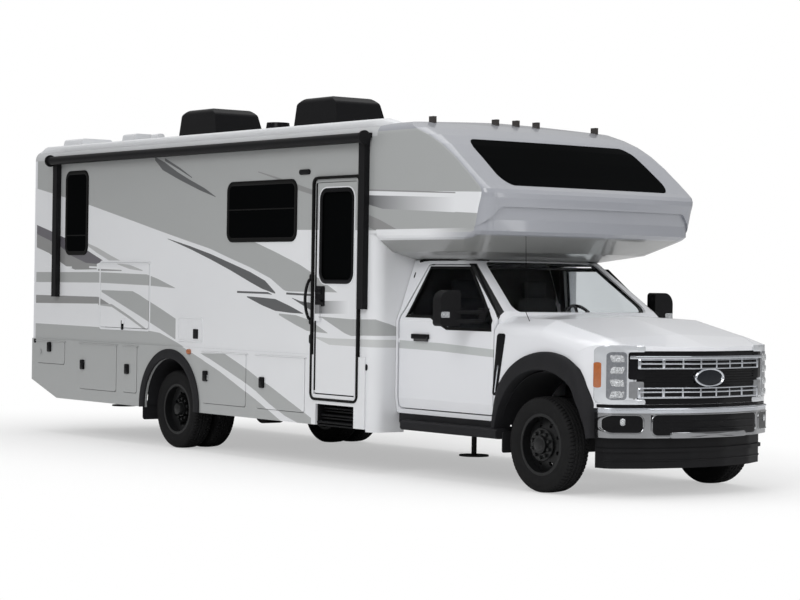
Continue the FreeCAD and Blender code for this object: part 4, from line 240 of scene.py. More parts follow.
class Finish:
    """A node material with one Principled shader, built up step by step on Object coordinates."""

    def __init__(self, name, colour, roughness, **sockets):
        self.material = bpy.data.materials.new(name)
        self.material.use_nodes = True
        self.tree = self.material.node_tree
        self.shader = self.tree.nodes["Principled BSDF"]
        self.coordinates = self.node("ShaderNodeTexCoord").outputs["Object"]
        self.colour = colour
        plug(self.shader, "Base Color", (*colour, 1))
        plug(self.shader, "Roughness", roughness)
        for socket, value in sockets.items():
            plug(self.shader, socket.replace("_", " "), value)

    def node(self, kind, sockets=(), **settings):
        """A new node in this material."""
        return new_node(self.tree, kind, sockets, **settings)

    def maths(self, operation, *values):
        """One Math node: operation of the values, each a number or an output."""
        return self.node("ShaderNodeMath", enumerate(values), operation=operation).outputs[0]

    def noise(self, scale, detail):
        """Noise between 0 and 1 at scale features a metre."""
        sockets = (("Vector", self.coordinates), ("Scale", scale), ("Detail", detail))
        return self.node("ShaderNodeTexNoise", sockets).outputs["Fac"]

    def mix(self, factor, a, b):
        """Colour a where factor is 0, colour b where it is 1."""
        colours = [(*value, 1) if isinstance(value, tuple) else value for value in (a, b)]
        return self.node("ShaderNodeMix", zip(mix_inputs, (factor, *colours)), data_type="RGBA").outputs[mix_output]

    def paint(self, mask, colour):
        """Lays colour over what is there, as far as mask says."""
        self.colour = self.mix(mask, self.colour, colour)
        plug(self.shader, "Base Color", self.colour)
        return self

    def mottled(self, scale, amount, tint=0.0):
        """Colour that wanders by amount between a shade darker and itself."""
        return self.paint(self.maths("MULTIPLY", self.noise(scale, 3.0), amount), (tint, tint, tint))

    def rough_patches(self, scale, low, high):
        """Roughness that wanders between low and high."""
        sockets = (("Value", self.noise(scale, 3.0)), ("To Min", low), ("To Max", high))
        plug(self.shader, "Roughness", self.node("ShaderNodeMapRange", sockets).outputs[0])
        return self

    def bumpy(self, scale, strength, distance):
        """A fine raised grain."""
        sockets = (("Strength", strength), ("Distance", distance), ("Height", self.noise(scale, 2.0)))
        plug(self.shader, "Normal", self.node("ShaderNodeBump", sockets).outputs[0])
        return self

    def axes(self):
        """The Object coordinate as x, y and z outputs."""
        return tuple(self.node("ShaderNodeSeparateXYZ", ((0, self.coordinates),)).outputs)

    def ranged(self, value, low, high):
        """Value as a share of the way from low to high, not clamped."""
        sockets = (("Value", value), ("From Min", low), ("From Max", high))
        return self.node("ShaderNodeMapRange", sockets, clamp=False).outputs[0]

    def polyline(self, share, points, low, high):
        """A curve through points, read at share of the way across the box with corners low and high."""
        made = self.node("ShaderNodeFloatCurve", (("Value", share),))
        curve = made.mapping.curves[0]
        while len(curve.points) < len(points):
            curve.points.new(0.5, 0.5)
        for point, place in zip(curve.points, (np.array(points) - low) / (high - low)):
            point.location = place.tolist()
            point.handle_type = "VECTOR"
        made.mapping.update()
        return made.outputs[0]

    def between(self, x, z, top, bottom):
        """1 where z lies between the lines top and bottom, 0 elsewhere; also the share along x."""
        low, high = np.min(top + bottom, axis=0), np.max(top + bottom, axis=0)
        along, height = (self.ranged(value, low[k], high[k]) for k, value in enumerate((x, z)))
        above = self.maths("GREATER_THAN", height, self.polyline(along, bottom, low, high))
        below = self.maths("LESS_THAN", height, self.polyline(along, top, low, high))
        inside = self.maths("COMPARE", along, 0.5, 0.5)
        return self.maths("MULTIPLY", self.maths("MULTIPLY", above, below), inside), along

    def inside(self, **spans):
        """1 inside the (low, high) ranges given for x, y and z, else 0; y is taken without its sign."""
        x, y, z = self.axes()
        values = {"x": x, "y": self.maths("ABSOLUTE", y), "z": z}
        mask = 1.0
        for axis, (low, high) in spans.items():
            part = self.maths("COMPARE", values[axis], (low + high) / 2, (high - low) / 2)
            mask = self.maths("MULTIPLY", mask, part)
        return mask

    def paint_box(self, colour, **spans):
        """Paints one colour inside the ranges."""
        return self.paint(self.inside(**spans), colour)


def clear_coated(name, colour):
    """Body paint: satin base under a hard clear coat, with a faint orange peel."""
    finish = Finish(name, colour, 0.32, Coat_Weight=0.6, Coat_Roughness=0.06)
    return finish.mottled(1.3, 0.05).rough_patches(6.0, 0.26, 0.38).bumpy(260.0, 0.03, 0.0004)


def lay_stripes(finish, x, z, start="", limit=1.0):
    """Paints the stripes whose names begin with start, where limit is 1: the plain ones, then those that fade."""
    for stripes, fading in ((side_stripes, False), (fading_stripes, True)):
        for name, colour, top, bottom in stripes:
            if name.startswith(start):
                mask, along = finish.between(x, z, top, bottom)
                shade = finish.mix(along, colour, white_paint) if fading else colour
                finish.paint(finish.maths("MULTIPLY", mask, limit), shade)


def striped_paint():
    """The coach sides: white paint with the grey and dark stripes, which carry on round the front corner."""
    finish = clear_coated("coach_side_paint", white_paint)
    x, y, z = finish.axes()
    inward = finish.maths("SUBTRACT", coach_half, finish.maths("ABSOLUTE", y))
    ahead = finish.maths("GREATER_THAN", x, corner_start_x)
    lay_stripes(finish, finish.maths("ADD", x, finish.maths("MULTIPLY", inward, ahead)), z)
    return finish


def nose_paint():
    """Silver nose with the side panel's grey, its stripes, the white foot that fades to silver in front, and painted
    shade on its underside.
    """
    finish = clear_coated("nose_silver_paint", nose_silver)
    x, _, z = finish.axes()
    side = finish.inside(y=nose_side)
    finish.paint(side, stripe_grey)
    lay_stripes(finish, x, z, "nose", side)
    fade = smooth_ramp(finish.tree, x, nose_foot_fade, 1.0, 0.0)
    finish.paint(finish.maths("MULTIPLY", finish.inside(**nose_foot), fade), white_paint)
    # Painted shade on the nose's underside
    return finish.paint_box(nose_under_painted_shade, **nose_underside_shade_box)


def cab_paint():
    """White cab paint with the waist band over the doors, black under the door handles and a dark inside."""
    finish = clear_coated("cab_white_paint", cab_white)
    x, y, z = finish.axes()
    band, _ = finish.between(x, z, door_band_top, door_band_bottom)
    finish.paint(finish.maths("MULTIPLY", band, finish.inside(y=cab_side)), band_silver)
    finish.paint_box(plastic_black, **door_handle_box)
    over_waist = finish.maths("MAXIMUM", finish.maths("SUBTRACT", z, room_waist_z), 0.0)
    wall = finish.maths("SUBTRACT", room_half, finish.maths("MULTIPLY", over_waist, room_side_lean))
    within = finish.maths("LESS_THAN", finish.maths("ABSOLUTE", y), wall)
    drawn_back = finish.maths("MULTIPLY", finish.maths("SUBTRACT", z, room_front_z), room_front_lean)
    front = finish.maths("MINIMUM", finish.maths("SUBTRACT", room_front_x, drawn_back), room_front_limit)
    room = finish.maths("MULTIPLY", finish.maths("MULTIPLY", within, finish.maths("LESS_THAN", x, front)),
                        finish.inside(**cab_room))
    return finish.paint(room, trim_dark)


def lamp_paint():
    """Lamps: silver housings in front with black and amber parts, amber roof markers and red lamps behind."""
    finish = Finish("lamp_housings", (0.5, 0.52, 0.54), 0.16, Coat_Weight=0.7, Coat_Roughness=0.03)
    finish.mottled(34.0, 0.25).bumpy(90.0, 0.2, 0.002)
    for colour, across, heights in ((lens_bright, lens_span, lens_heights),
                                    (plastic_black, inner_span, inner_black_heights),
                                    (stripe_mid, inner_span, inner_grey_heights), (amber, amber_span, amber_heights)):
        finish.paint_box(colour, x=lamp_front, y=across, z=heights)
    return finish.paint_box(amber_dark, **roof_marker_box).paint_box(tail_red, **tail_lamp_box)


def bumper_chrome():
    """Bright chrome with a painted reflection: darker on the bumper's lower half, where it mirrors the ground."""
    finish = Finish("bright_chrome", chrome_bright, 0.1, Metallic=1.0)
    return finish.paint_box(chrome_painted_reflection, z=bumper_reflection_heights).mottled(3.0, 0.2, 0.1).rough_patches(5.0, 0.08, 0.16)


def coach_glass():
    """Near-black privacy glass; the windshield, further forward, is clear."""
    finish = Finish("privacy_glass", glass_dark, 0.05, Specular_IOR_Level=0.05, IOR=1.08)
    finish.mottled(2.0, 0.2)
    windshield = finish.inside(**windshield_box)
    plug(finish.shader, "Transmission Weight", windshield)
    return finish.paint(windshield, glass_clear)


def grained(name, colour, roughness, mottling, grain, **sockets):
    """A finish with mottling (scale, amount) and a raised grain (scale, strength, distance)."""
    return Finish(name, colour, roughness, **sockets).mottled(*mottling).bumpy(*grain)


def dress_nodes():
    """Gives every carried-over CAD node its finish; a node that the table leaves out is coach side."""
    for name, obj in nodes.items():
        finish = next((finish for finish, starts in node_finishes.items() if name.startswith(starts)), "side")
        obj.data.materials.clear()
        obj.data.materials.append(finishes[finish].material)


dull = {"Specular_IOR_Level": 0.1}
black_mottling = (8.0, 0.3)
plastic_grain = (900.0, 0.25, 0.0004)

finishes = {
    "side": striped_paint(),
    "cab": cab_paint(),
    "silver": nose_paint(),
    "white": clear_coated("rear_white_paint", cab_white),
    "roof": grained("roof_membrane", (0.5, 0.51, 0.52), 0.6, (4.0, 0.12), (60.0, 0.15, 0.001)),
    "black": grained("black_grained_plastic", plastic_black, 0.5, black_mottling, plastic_grain, **dull),
    "arch": grained("grey_black_plastic", (0.02, 0.02, 0.022), 0.6, black_mottling, plastic_grain, **dull),
    "gloss": Finish("black_gloss_plastic", (0.006, 0.006, 0.007), 0.2, **dull)
             .mottled(*black_mottling).rough_patches(20.0, 0.15, 0.3),
    "rubber": grained("tyre_rubber", (0.014, 0.014, 0.0145), 0.8, (9.0, 0.35), (700.0, 0.3, 0.0005), **dull),
    "seal": grained("window_seal_rubber", (0.004, 0.004, 0.004), 0.5, (30.0, 0.3), (500.0, 0.1, 0.0004), **dull),
    "steel": grained("black_painted_steel", (0.013, 0.013, 0.014), 0.45, (12.0, 0.3), (300.0, 0.15, 0.0004), **dull),
    "wheel": grained("wheel_black_paint", (0.01, 0.0105, 0.011), 0.35, (14.0, 0.3), (240.0, 0.1, 0.0003),
                     Specular_IOR_Level=0.25),
    "iron": grained("engine_iron", (0.06, 0.06, 0.065), 0.65, (10.0, 0.4), (90.0, 0.4, 0.001), Metallic=0.5),
    "chrome": bumper_chrome(),
    "glass": coach_glass(),
    "trim": grained("cab_trim", (0.04, 0.04, 0.043), 0.75, (20.0, 0.3), (500.0, 0.3, 0.0006), **dull),
    "cloth": grained("seat_cloth", (0.03, 0.031, 0.034), 0.9, (60.0, 0.4), (1500.0, 0.5, 0.0006), **dull),
    "lamp": lamp_paint(),
    "lens": grained("clear_lens", (0.66, 0.68, 0.7), 0.12, (60.0, 0.6), (55.0, 1.0, 0.02), Metallic=0.6,
                    Coat_Weight=0.8, Coat_Roughness=0.02),
    "amber": grained("amber_lens", amber, 0.2, (60.0, 0.3), (200.0, 0.2, 0.001), Coat_Weight=0.5),
    "plate": Finish("plain_badge", (0.02, 0.022, 0.026), 0.2, **dull).mottled(30.0, 0.3),
    "housing": Finish("headlamp_surround", (0.62, 0.64, 0.67), 0.18, Metallic=0.35, Coat_Weight=0.5)
               .mottled(20.0, 0.15),
    "frame_grey": Finish("grey_lamp_block", (0.2, 0.205, 0.215), 0.3).mottled(30.0, 0.2),
    "lens_dim": grained("headlamp_lens", (0.2, 0.21, 0.23), 0.1, (50.0, 0.5), (120.0, 0.4, 0.002), Coat_Weight=0.8),
    "tail": grained("red_lens", tail_red, 0.15, (60.0, 0.3), (160.0, 0.3, 0.002), Coat_Weight=0.6),
    "mirror": Finish("mirror_silver", (0.7, 0.71, 0.72), 0.03, Metallic=1.0).mottled(2.0, 0.03),
    "frame": grained("white_frame_plastic", (0.7, 0.71, 0.73), 0.45, (20.0, 0.08), (300.0, 0.05, 0.0003)),
    "cab_glass": Finish("cab_glass", (0.62, 0.65, 0.67), 0.02, Transmission_Weight=1.0, IOR=1.02,
                        Specular_IOR_Level=0.3)
                 .mottled(2.0, 0.1),
}

# Finish: the nodes that wear it, by name or by the start of their names; the first that fits counts
node_finishes = {
    "cab_glass": ("cab_door_glass_",),
    "rubber": ("front_tyre_", "rear_tyres_"),
    "wheel": ("front_rim_", "rear_rims_"),
    "steel": ("chassis_frame", "axles", "knuckle_", "jack_ram_"),
    "iron": ("engine_block",),
    "black": ("underbody_tanks", "air_dam", "coach_floor", "lockers", "entry_step_and_handle", "awning", "mirror_"),
    "cab": ("cab_shell", "front_clip", "bonnet", "cab_door_"),
    "gloss": ("grille", "rooftop_units"),
    "chrome": ("front_bumper",),
    "arch": ("flares_and_boards",),
    "trim": ("cab_interior",),
    "white": ("coach_rear_wall",),
    "roof": ("coach_roof",),
    "silver": ("nose_cap",),
    "glass": ("fixed_glass", "entry_door_glass"),
    "lamp": ("lamps",),
    "frame": ("roof_vents",),
}


dress_nodes()



# Surfaces

def quads(rows, columns, wrap_rows, wrap_columns):
    """Corner numbers of a grid's quads; wrapping joins the last line to the first."""
    r = np.arange(rows if wrap_rows else rows - 1)[:, None]
    c = np.arange(columns if wrap_columns else columns - 1)[None, :]
    down, across = (r + 1) % rows, (c + 1) % columns
    corners = (r * columns + c, down * columns + c, down * columns + across, r * columns + across)
    return np.stack(np.broadcast_arrays(*corners), axis=-1).reshape(-1, 4)


class Surface:
    """Closed grids of points gathered into one mesh."""

    def __init__(self):
        self.points, self.faces, self.count = [], [], 0

    def add(self, grid, wrap_rows=False):
        """Adds a grid (rows, columns, 3) whose columns close on themselves; rows left open get an end face each.

        Volume enclosed = sum of a . (b x c) / 6 over the triangles, and its sign says which way the faces look.
        """
        rows, columns = grid.shape[:2]
        flat = grid.reshape(-1, 3)
        faces = quads(rows, columns, wrap_rows, True)
        ends = []
        if not wrap_rows:
            ring = np.arange(columns)
            ends = [ring, (rows - 1) * columns + ring[::-1]]
        centred = flat - flat.mean(axis=0)
        a, b, c, d = (centred[faces[:, k]] for k in range(4))
        volume = (a * np.cross(b, c)).sum() + (a * np.cross(c, d)).sum()
        for ring in ends:
            edge = centred[ring]
            middle = np.broadcast_to(edge.mean(axis=0), edge.shape)
            volume += (middle * np.cross(edge, np.roll(edge, -1, axis=0))).sum()
        turn = -1 if volume < 0 else 1
        self.faces += (faces[:, ::turn] + self.count).tolist()
        self.faces += [(ring[::turn] + self.count).tolist() for ring in ends]
        self.points.append(flat)
        self.count += len(flat)

    def finish(self, name, finish, body, replaces=(), sharp=38.0):
        """Makes the object at the origin, gives it its finish, and hangs it on its body."""
        mesh = bpy.data.meshes.new(name)
        mesh.from_pydata(np.concatenate(self.points).tolist(), [], self.faces)
        mesh.shade_smooth()
        mesh.set_sharp_from_angle(angle=math.radians(sharp))
        mesh.materials.append(finishes[finish].material)
        made = bpy.data.objects.new(name, mesh)
        bpy.context.scene.collection.objects.link(made)
        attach(made, body)
        if replaces:
            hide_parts(*replaces)
        return made


def rounded(half_u, half_v, corner, count=64):
    """A rounded rectangle: corner centres plus corner * (cos t, sin t), spread evenly along it, with normals."""
    arc = 7
    turn = (np.arange(4)[:, None] * np.pi / 2 + np.linspace(0, np.pi / 2, arc)[None, :]).ravel()
    middle = np.repeat(np.arange(4) * np.pi / 2 + np.pi / 4, arc)
    normal = np.stack((np.cos(turn), np.sin(turn)), axis=-1)
    centre = np.stack((np.sign(np.cos(middle)) * (half_u - corner), np.sign(np.sin(middle)) * (half_v - corner)),
                      axis=-1)
    loop = centre + corner * normal
    both = np.concatenate((loop, normal), axis=-1)
    both = np.concatenate((both, both[:1]))
    steps = np.linalg.norm(np.diff(both[:, :2], axis=0), axis=-1) + 1e-9
    along = np.concatenate(([0.0], np.cumsum(steps)))
    at = np.unique(np.concatenate((np.linspace(0, along[-1], count, endpoint=False), along[:-1])))
    out = np.stack([np.interp(at, along, both[:, k]) for k in range(4)], axis=-1)
    length = np.linalg.norm(out[:, 2:], axis=-1, keepdims=True)
    return out[:, :2], out[:, 2:] / length


def crowned(place, u, v, half_u, half_v, corner, height, crown=0.35, sink=0.004, lean=0.0, taper=0.0):
    """A raised plate: height * (1 - crown * s^4) at share s of the way out, rounded over to its edge.

    lean shears u by v, and taper widens it upwards by that share a metre.
    """
    loop, _ = rounded(half_u, half_v, min(corner, half_u, half_v) * 0.999)
    share = np.array((0.03, 0.3, 0.55, 0.75, 0.88, 0.95, 0.985, 1.0, 1.0))
    rise = height * (1 - crown * share ** 4)
    rise[-2] = rise[-3] * 0.6
    rise[-1] = -sink
    points = share[:, None, None] * loop[None]
    wide = points[..., 0] * (1 + taper * points[..., 1])
    return place(u + wide + lean * points[..., 1], v + points[..., 1], rise[:, None])


def ring(place, u, v, half_u, half_v, corner, section):
    """A section carried round a rounded rectangle; each section point is (outwards in the plane, proud of it)."""
    loop, normal = rounded(half_u, half_v, corner)
    section = np.array(section)
    points = loop[:, None] + section[None, :, :1] * normal[:, None]
    return place(u + points[..., 0], v + points[..., 1], section[None, :, 1])


def beam(place, u, v, half_v, low, high, corner=0.3):
    """A rounded bar along u: at each u its section is a rounded rectangle, half_v up and down, low to high proud."""
    loop, _ = rounded(1.0, 1.0, corner, 16)
    u = np.asarray(u, float)[:, None]
    v = np.broadcast_to(np.asarray(v, float), u.shape[:1])[:, None]
    half_v = np.broadcast_to(np.asarray(half_v, float), u.shape[:1])[:, None]
    rise = (low + high) / 2 + (high - low) / 2 * loop[None, :, 1]
    return place(u + 0 * loop[None, :, 0], v + half_v * loop[None, :, 0], rise)


def tube(path, radius, sides=12):
    """A tube: path + radius * (cos a * across + sin a * over), across and over square to the path."""
    path = np.asarray(path, float)
    along = np.gradient(path, axis=0)
    along /= np.linalg.norm(along, axis=-1, keepdims=True)
    other = np.where(np.abs(along[:, 2:]) > 0.9, np.array([[1.0, 0.0, 0.0]]), np.array([[0.0, 0.0, 1.0]]))
    across = np.cross(along, other)
    across /= np.linalg.norm(across, axis=-1, keepdims=True)
    over = np.cross(across, along)
    a = np.linspace(0, 2 * np.pi, sides, endpoint=False)[None, :, None]
    radius = np.broadcast_to(np.asarray(radius, float), len(path))[:, None, None]
    return path[:, None] + radius * (np.cos(a) * across[:, None] + np.sin(a) * over[:, None])


def turned(centre, across, radius, start=0.0, end=2 * np.pi, count=96):
    """A profile of (y, radius) points turned about an axis along y: (radius cos t, y, radius sin t)."""
    whole = abs(end - start - 2 * np.pi) < 1e-6
    t = np.linspace(start, end, count, endpoint=not whole)[:, None]
    across = np.asarray(across, float)[None, :]
    radius = np.asarray(radius, float)
    radius = radius if radius.ndim == 2 else radius[None, :]
    x = centre[0] + radius * np.cos(t)
    z = centre[2] + radius * np.sin(t)
    return np.stack(np.broadcast_arrays(x, centre[1] + across, z), axis=-1)


# Places: u and v run over a face, w stands out from it

def on_side(side, base):
    """On a wall along x: u is x, v is z, w runs out from |y| = base; side is 1 for left, -1 for right."""
    return lambda u, v, w: np.stack(np.broadcast_arrays(u, side * (base + w), v), axis=-1)


def on_end(base, way=1.0):
    """On a wall across x at base: u is y, v is z, w runs along way * x."""
    return lambda u, v, w: np.stack(np.broadcast_arrays(base + way * w, u, v), axis=-1)


def on_top(base):
    """On a level face: u is x, v is y, w runs up from base."""
    return lambda u, v, w: np.stack(np.broadcast_arrays(u, v, base + w), axis=-1)


def plan_line(points):
    """A front-end plan line as (x, |y|) rows: straight runs with each corner a quadratic curve."""
    points = np.array(points) / 1000.0
    mirrored = np.vstack((points[:, :2], points[-1:, :2] * (1, -1)))
    t = np.linspace(0, 1, 9)[:, None]
    parts = [mirrored[:1]]
    for before, corner, after, radius in zip(mirrored, mirrored[1:], mirrored[2:], points[1:, 2]):
        one, two = before - corner, after - corner
        one, two = one / np.linalg.norm(one), two / np.linalg.norm(two)
        run = radius / math.tan(math.acos(float(np.clip(one @ two, -1, 1))) / 2)
        parts.append((1 - t) ** 2 * (corner + run * one) + 2 * t * (1 - t) * corner + t ** 2 * (corner + run * two))
    line = np.vstack(parts)
    line = np.vstack((line, [[line[-1, 0], 0.0]]))
    line[:, 0] += front_axle_x
    return line[np.argsort(line[:, 1])]


def on_front(line):
    """On a front-end plan line: u is y on the line, v is z, w runs out along the line's own normal."""
    def place(u, v, w):
        u, v, w = np.broadcast_arrays(u, v, w)
        reach, step = np.abs(u), 0.004
        read = lambda y: np.interp(y, line[:, 1], line[:, 0])
        slope = (read(reach + step) - read(np.maximum(reach - step, 0))) / (2 * step)
        scale = 1 / np.sqrt(1 + slope ** 2)
        return np.stack((read(reach) + w * scale, u - np.sign(u) * w * slope * scale, v), axis=-1)
    return place


clip_line = plan_line(((440, 1010, 300), (690, 905, 170), (790, 700, 90), (905, 150, 600)))
bumper_line = plan_line(((540, 950, 0.001), (700, 925, 120), (872, 610, 400), (970, 220, 600)))
dam_line = plan_line(((520, 905, 0.001), (660, 885, 110), (800, 600, 300), (890, 200, 500)))
sides = {"right": -1, "left": 1}


# Wheels

tyre_radius = 0.405
tyre_half = 0.1125
tread_half = 0.082
tread_crown = 0.0045
tread_blocks = 70
tyre_steps = 420
tread_points = 34
groove_places = (-0.052, -0.018, 0.018, 0.052)
groove_half = 0.0042
groove_depth = 0.011
# Cross cuts: how much they slant, the part of each wave that is cut, and how deep those in the middle are
shoulder_slant = 40
shoulder_cut_from = 0.86
middle_slant = 60
middle_turn = 1.5
middle_cut_from = 0.9
middle_cut_share = 0.4
shoulder_start = 0.05
shoulder_radius = 0.385
crown_radius = 0.395
# The tyre's wall from the bead to the tread, and its inside: (across, radius)
tyre_wall = ((-0.084, 0.25), (-0.098, 0.268), (-0.1105, 0.3), (-0.1125, 0.326), (-0.1115, 0.345), (-0.1085, 0.351),
             (-0.1075, 0.366), (-0.103, 0.38), (-0.098, 0.391), (-0.09, 0.397))
tyre_inside = ((0.06, 0.25), (0.0, 0.25), (-0.06, 0.25))
# Hubs: (out from the wheel's face, radius)
front_hub = ((-0.05, 0.07), (-0.012, 0.068), (0.0, 0.06), (0.006, 0.04), (0.0075, 0.003))
front_hub_ring = ((-0.036, 0.142), (-0.028, 0.138), (-0.028, 0.078), (-0.036, 0.076))
rear_hub = ((-0.02, 0.066), (0.07, 0.062), (0.082, 0.054), (0.088, 0.03), (0.09, 0.003))
rear_face_in = 0.1
# Nuts: shares of their length and radius; then how far in, the circle, their radius and length
nut_profile = ((0.0, 1.0), (0.6, 1.0), (0.9, 0.85), (1.0, 0.45))
nut_count = 10
nut_turn = 0.3
front_nuts = (0.03, 0.108, 0.0175, 0.026)
rear_nuts = (0.0, 0.105, 0.0175, 0.03)


def turned_rows(centre, way, rows, base=0.0, *span):
    """turned() for rows of (out, radius): out runs from base towards the side that way gives."""
    out, radius = np.array(rows).T
    return turned(centre, way * (base + out), radius, *span)


def tyre(surface, x, y, z):
    """A treaded tyre: its profile turned about the axle, pushed in where round grooves and cross cuts run."""
    wall = np.array(tyre_wall)
    tread = np.linspace(-tread_half, tread_half, tread_points)
    crown = tyre_radius - tread_crown * (tread / tread_half) ** 2
    across = np.concatenate((wall[:, 0], tread, -wall[::-1, 0], np.array(tyre_inside)[:, 0]))
    radius = np.concatenate((wall[:, 1], crown, wall[::-1, 1], np.array(tyre_inside)[:, 1]))
    t = np.linspace(0, 2 * np.pi, tyre_steps, endpoint=False)[:, None]
    rounds = sum(np.exp(-((across - place) / groove_half) ** 4) for place in groove_places)[None, :]
    wave = 0.5 + 0.5 * np.cos(tread_blocks * t + shoulder_slant * np.abs(across)[None, :])
    shoulder = (np.abs(across) > shoulder_start) & (radius > shoulder_radius)
    blocks = (wave > shoulder_cut_from) * shoulder[None, :]
    wave = 0.5 + 0.5 * np.cos(tread_blocks * t + middle_turn + middle_slant * across[None, :])
    flat = (np.abs(across) < shoulder_start) & (radius > crown_radius)
    middle = middle_cut_share * (wave > middle_cut_from) * flat[None, :]
    depth = groove_depth * np.clip(rounds * (radius > crown_radius)[None, :] + blocks + middle, 0, 1)
    surface.add(turned((x, y, z), across, radius[None, :] - depth, count=tyre_steps), wrap_rows=True)


def nuts(surface, x, y, z, way, inset, circle, radius, length):
    """Six-sided nuts with a rounded crown, standing on a circle about the axle."""
    shares = np.array(nut_profile)[:, :, None]
    sideways, size = shares[:, 0] * length, shares[:, 1] * radius
    a = np.linspace(0, 2 * np.pi, 6, endpoint=False)[None, :]
    for k in range(nut_count):
        turn = 2 * np.pi * k / nut_count + nut_turn
        cx, cz = x + circle * math.cos(turn), z + circle * math.sin(turn)
        grid = (cx + size * np.cos(a), y - way * inset + way * sideways + 0 * a, cz + size * np.sin(a))
        surface.add(np.stack(grid, axis=-1))


def wheels():
    """The six treaded tyres, with nuts and hub caps on the wheels."""
    for side, sign in sides.items():
        low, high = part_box("front_tyre_" + side)
        x = (low.x + high.x) / 2
        made = Surface()
        tyre(made, x, (low.y + high.y) / 2, tyre_radius)
        made.finish("treaded_front_tyre_" + side, "rubber", "front_wheel_" + side, ("front_tyre_" + side,))
        face = sign * max(abs(low.y), abs(high.y))
        hub = Surface()
        hub.add(turned_rows((x, face, tyre_radius), sign, front_hub).transpose(1, 0, 2))
        hub.add(turned_rows((x, face, tyre_radius), sign, front_hub_ring), wrap_rows=True)
        nuts(hub, x, face, tyre_radius, sign, *front_nuts)
        hub.finish("front_hub_and_nuts_" + side, "wheel", "front_wheel_" + side)
        low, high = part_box("rear_tyres_" + side)
        x = (low.x + high.x) / 2
        made = Surface()
        tyre(made, x, low.y + tyre_half, tyre_radius)
        tyre(made, x, high.y - tyre_half, tyre_radius)
        made.finish("treaded_rear_tyres_" + side, "rubber", "rear_wheels_" + side, ("rear_tyres_" + side,))
        face = sign * (max(abs(low.y), abs(high.y)) - rear_face_in)
        hub = Surface()
        hub.add(turned_rows((x, face, tyre_radius), sign, rear_hub).transpose(1, 0, 2))
        nuts(hub, x, face, tyre_radius, sign, *rear_nuts)
        hub.finish("rear_hub_and_nuts_" + side, "wheel", "rear_wheels_" + side)


wheels()


# Wheel-arch flares, running boards, mud flaps

# The front arch: outer and inner edge as (degrees, radius), and its section as (share outwards, proud)
arch_outer = ((9, 0.565), (15, 0.572), (24, 0.605), (30, 0.64), (33, 0.668), (38, 0.685), (45.6, 0.714), (50, 0.745),
              (56, 0.78), (70, 0.79), (94, 0.779), (125, 0.768), (139, 0.752), (158, 0.684), (171, 0.662))
arch_inner = ((9, 0.545), (28, 0.553), (40, 0.578), (52, 0.62), (120, 0.63), (150, 0.612), (171, 0.6))
arch_section = ((0.0, -0.12), (0.0, 0.05), (0.04, 0.06), (0.14, 0.064), (0.5, 0.062), (0.86, 0.052), (0.97, 0.038),
                (1.0, 0.02), (1.0, -0.12))
arch_straight_to = 0.4
# Inner arches and the rear arch's edge: (out from the middle or the skirt, radius)
front_liner = ((0.52, 0.606), (0.99, 0.606), (0.99, 0.612), (0.52, 0.612))
front_liner_turn = (42, 168)
rear_liner = ((0.56, 0.485), (1.235, 0.485), (1.235, 0.491), (0.56, 0.491))
rear_arch = ((-0.02, 0.492), (0.016, 0.493), (0.023, 0.503), (0.024, 0.54), (0.022, 0.58), (0.012, 0.59),
             (-0.02, 0.59))
rear_arch_z = 0.44
rear_arch_opening = 0.54
rear_arch_reach = 0.97
skirt_proud = 0.015
# Bars along the cab's side: start and end behind the front axle, steps, z, half height, inner and outer y, corner
side_bars = ((1.88, 0.52, 24, 0.461, 0.0435, 0.962, 1.112, 0.55), (2.06, 0.6, 20, 0.535, 0.065, 0.955, 0.985, 0.3),
             (0.76, 0.7, 4, 0.475, 0.03, 0.44, 0.98, 0.3), (1.66, 1.6, 4, 0.475, 0.03, 0.44, 0.98, 0.3))
board_top = 0.5035
ridge_start = 0.985
ridge_pitch = 0.024
ridge_count = 5
ridge_size = (0.004, 0.0, 0.0015)
# Mud flaps: behind the axle, then y, z, half width, half height, corner, proud, crown, sunk
front_flap = (0.514, 0.96, 0.39, 0.08, 0.09, 0.02, 0.006, 0.2, 0.006)
rear_flap = (0.506, 0.99, 0.37, 0.29, 0.1, 0.03, 0.006, 0.2, 0.006)


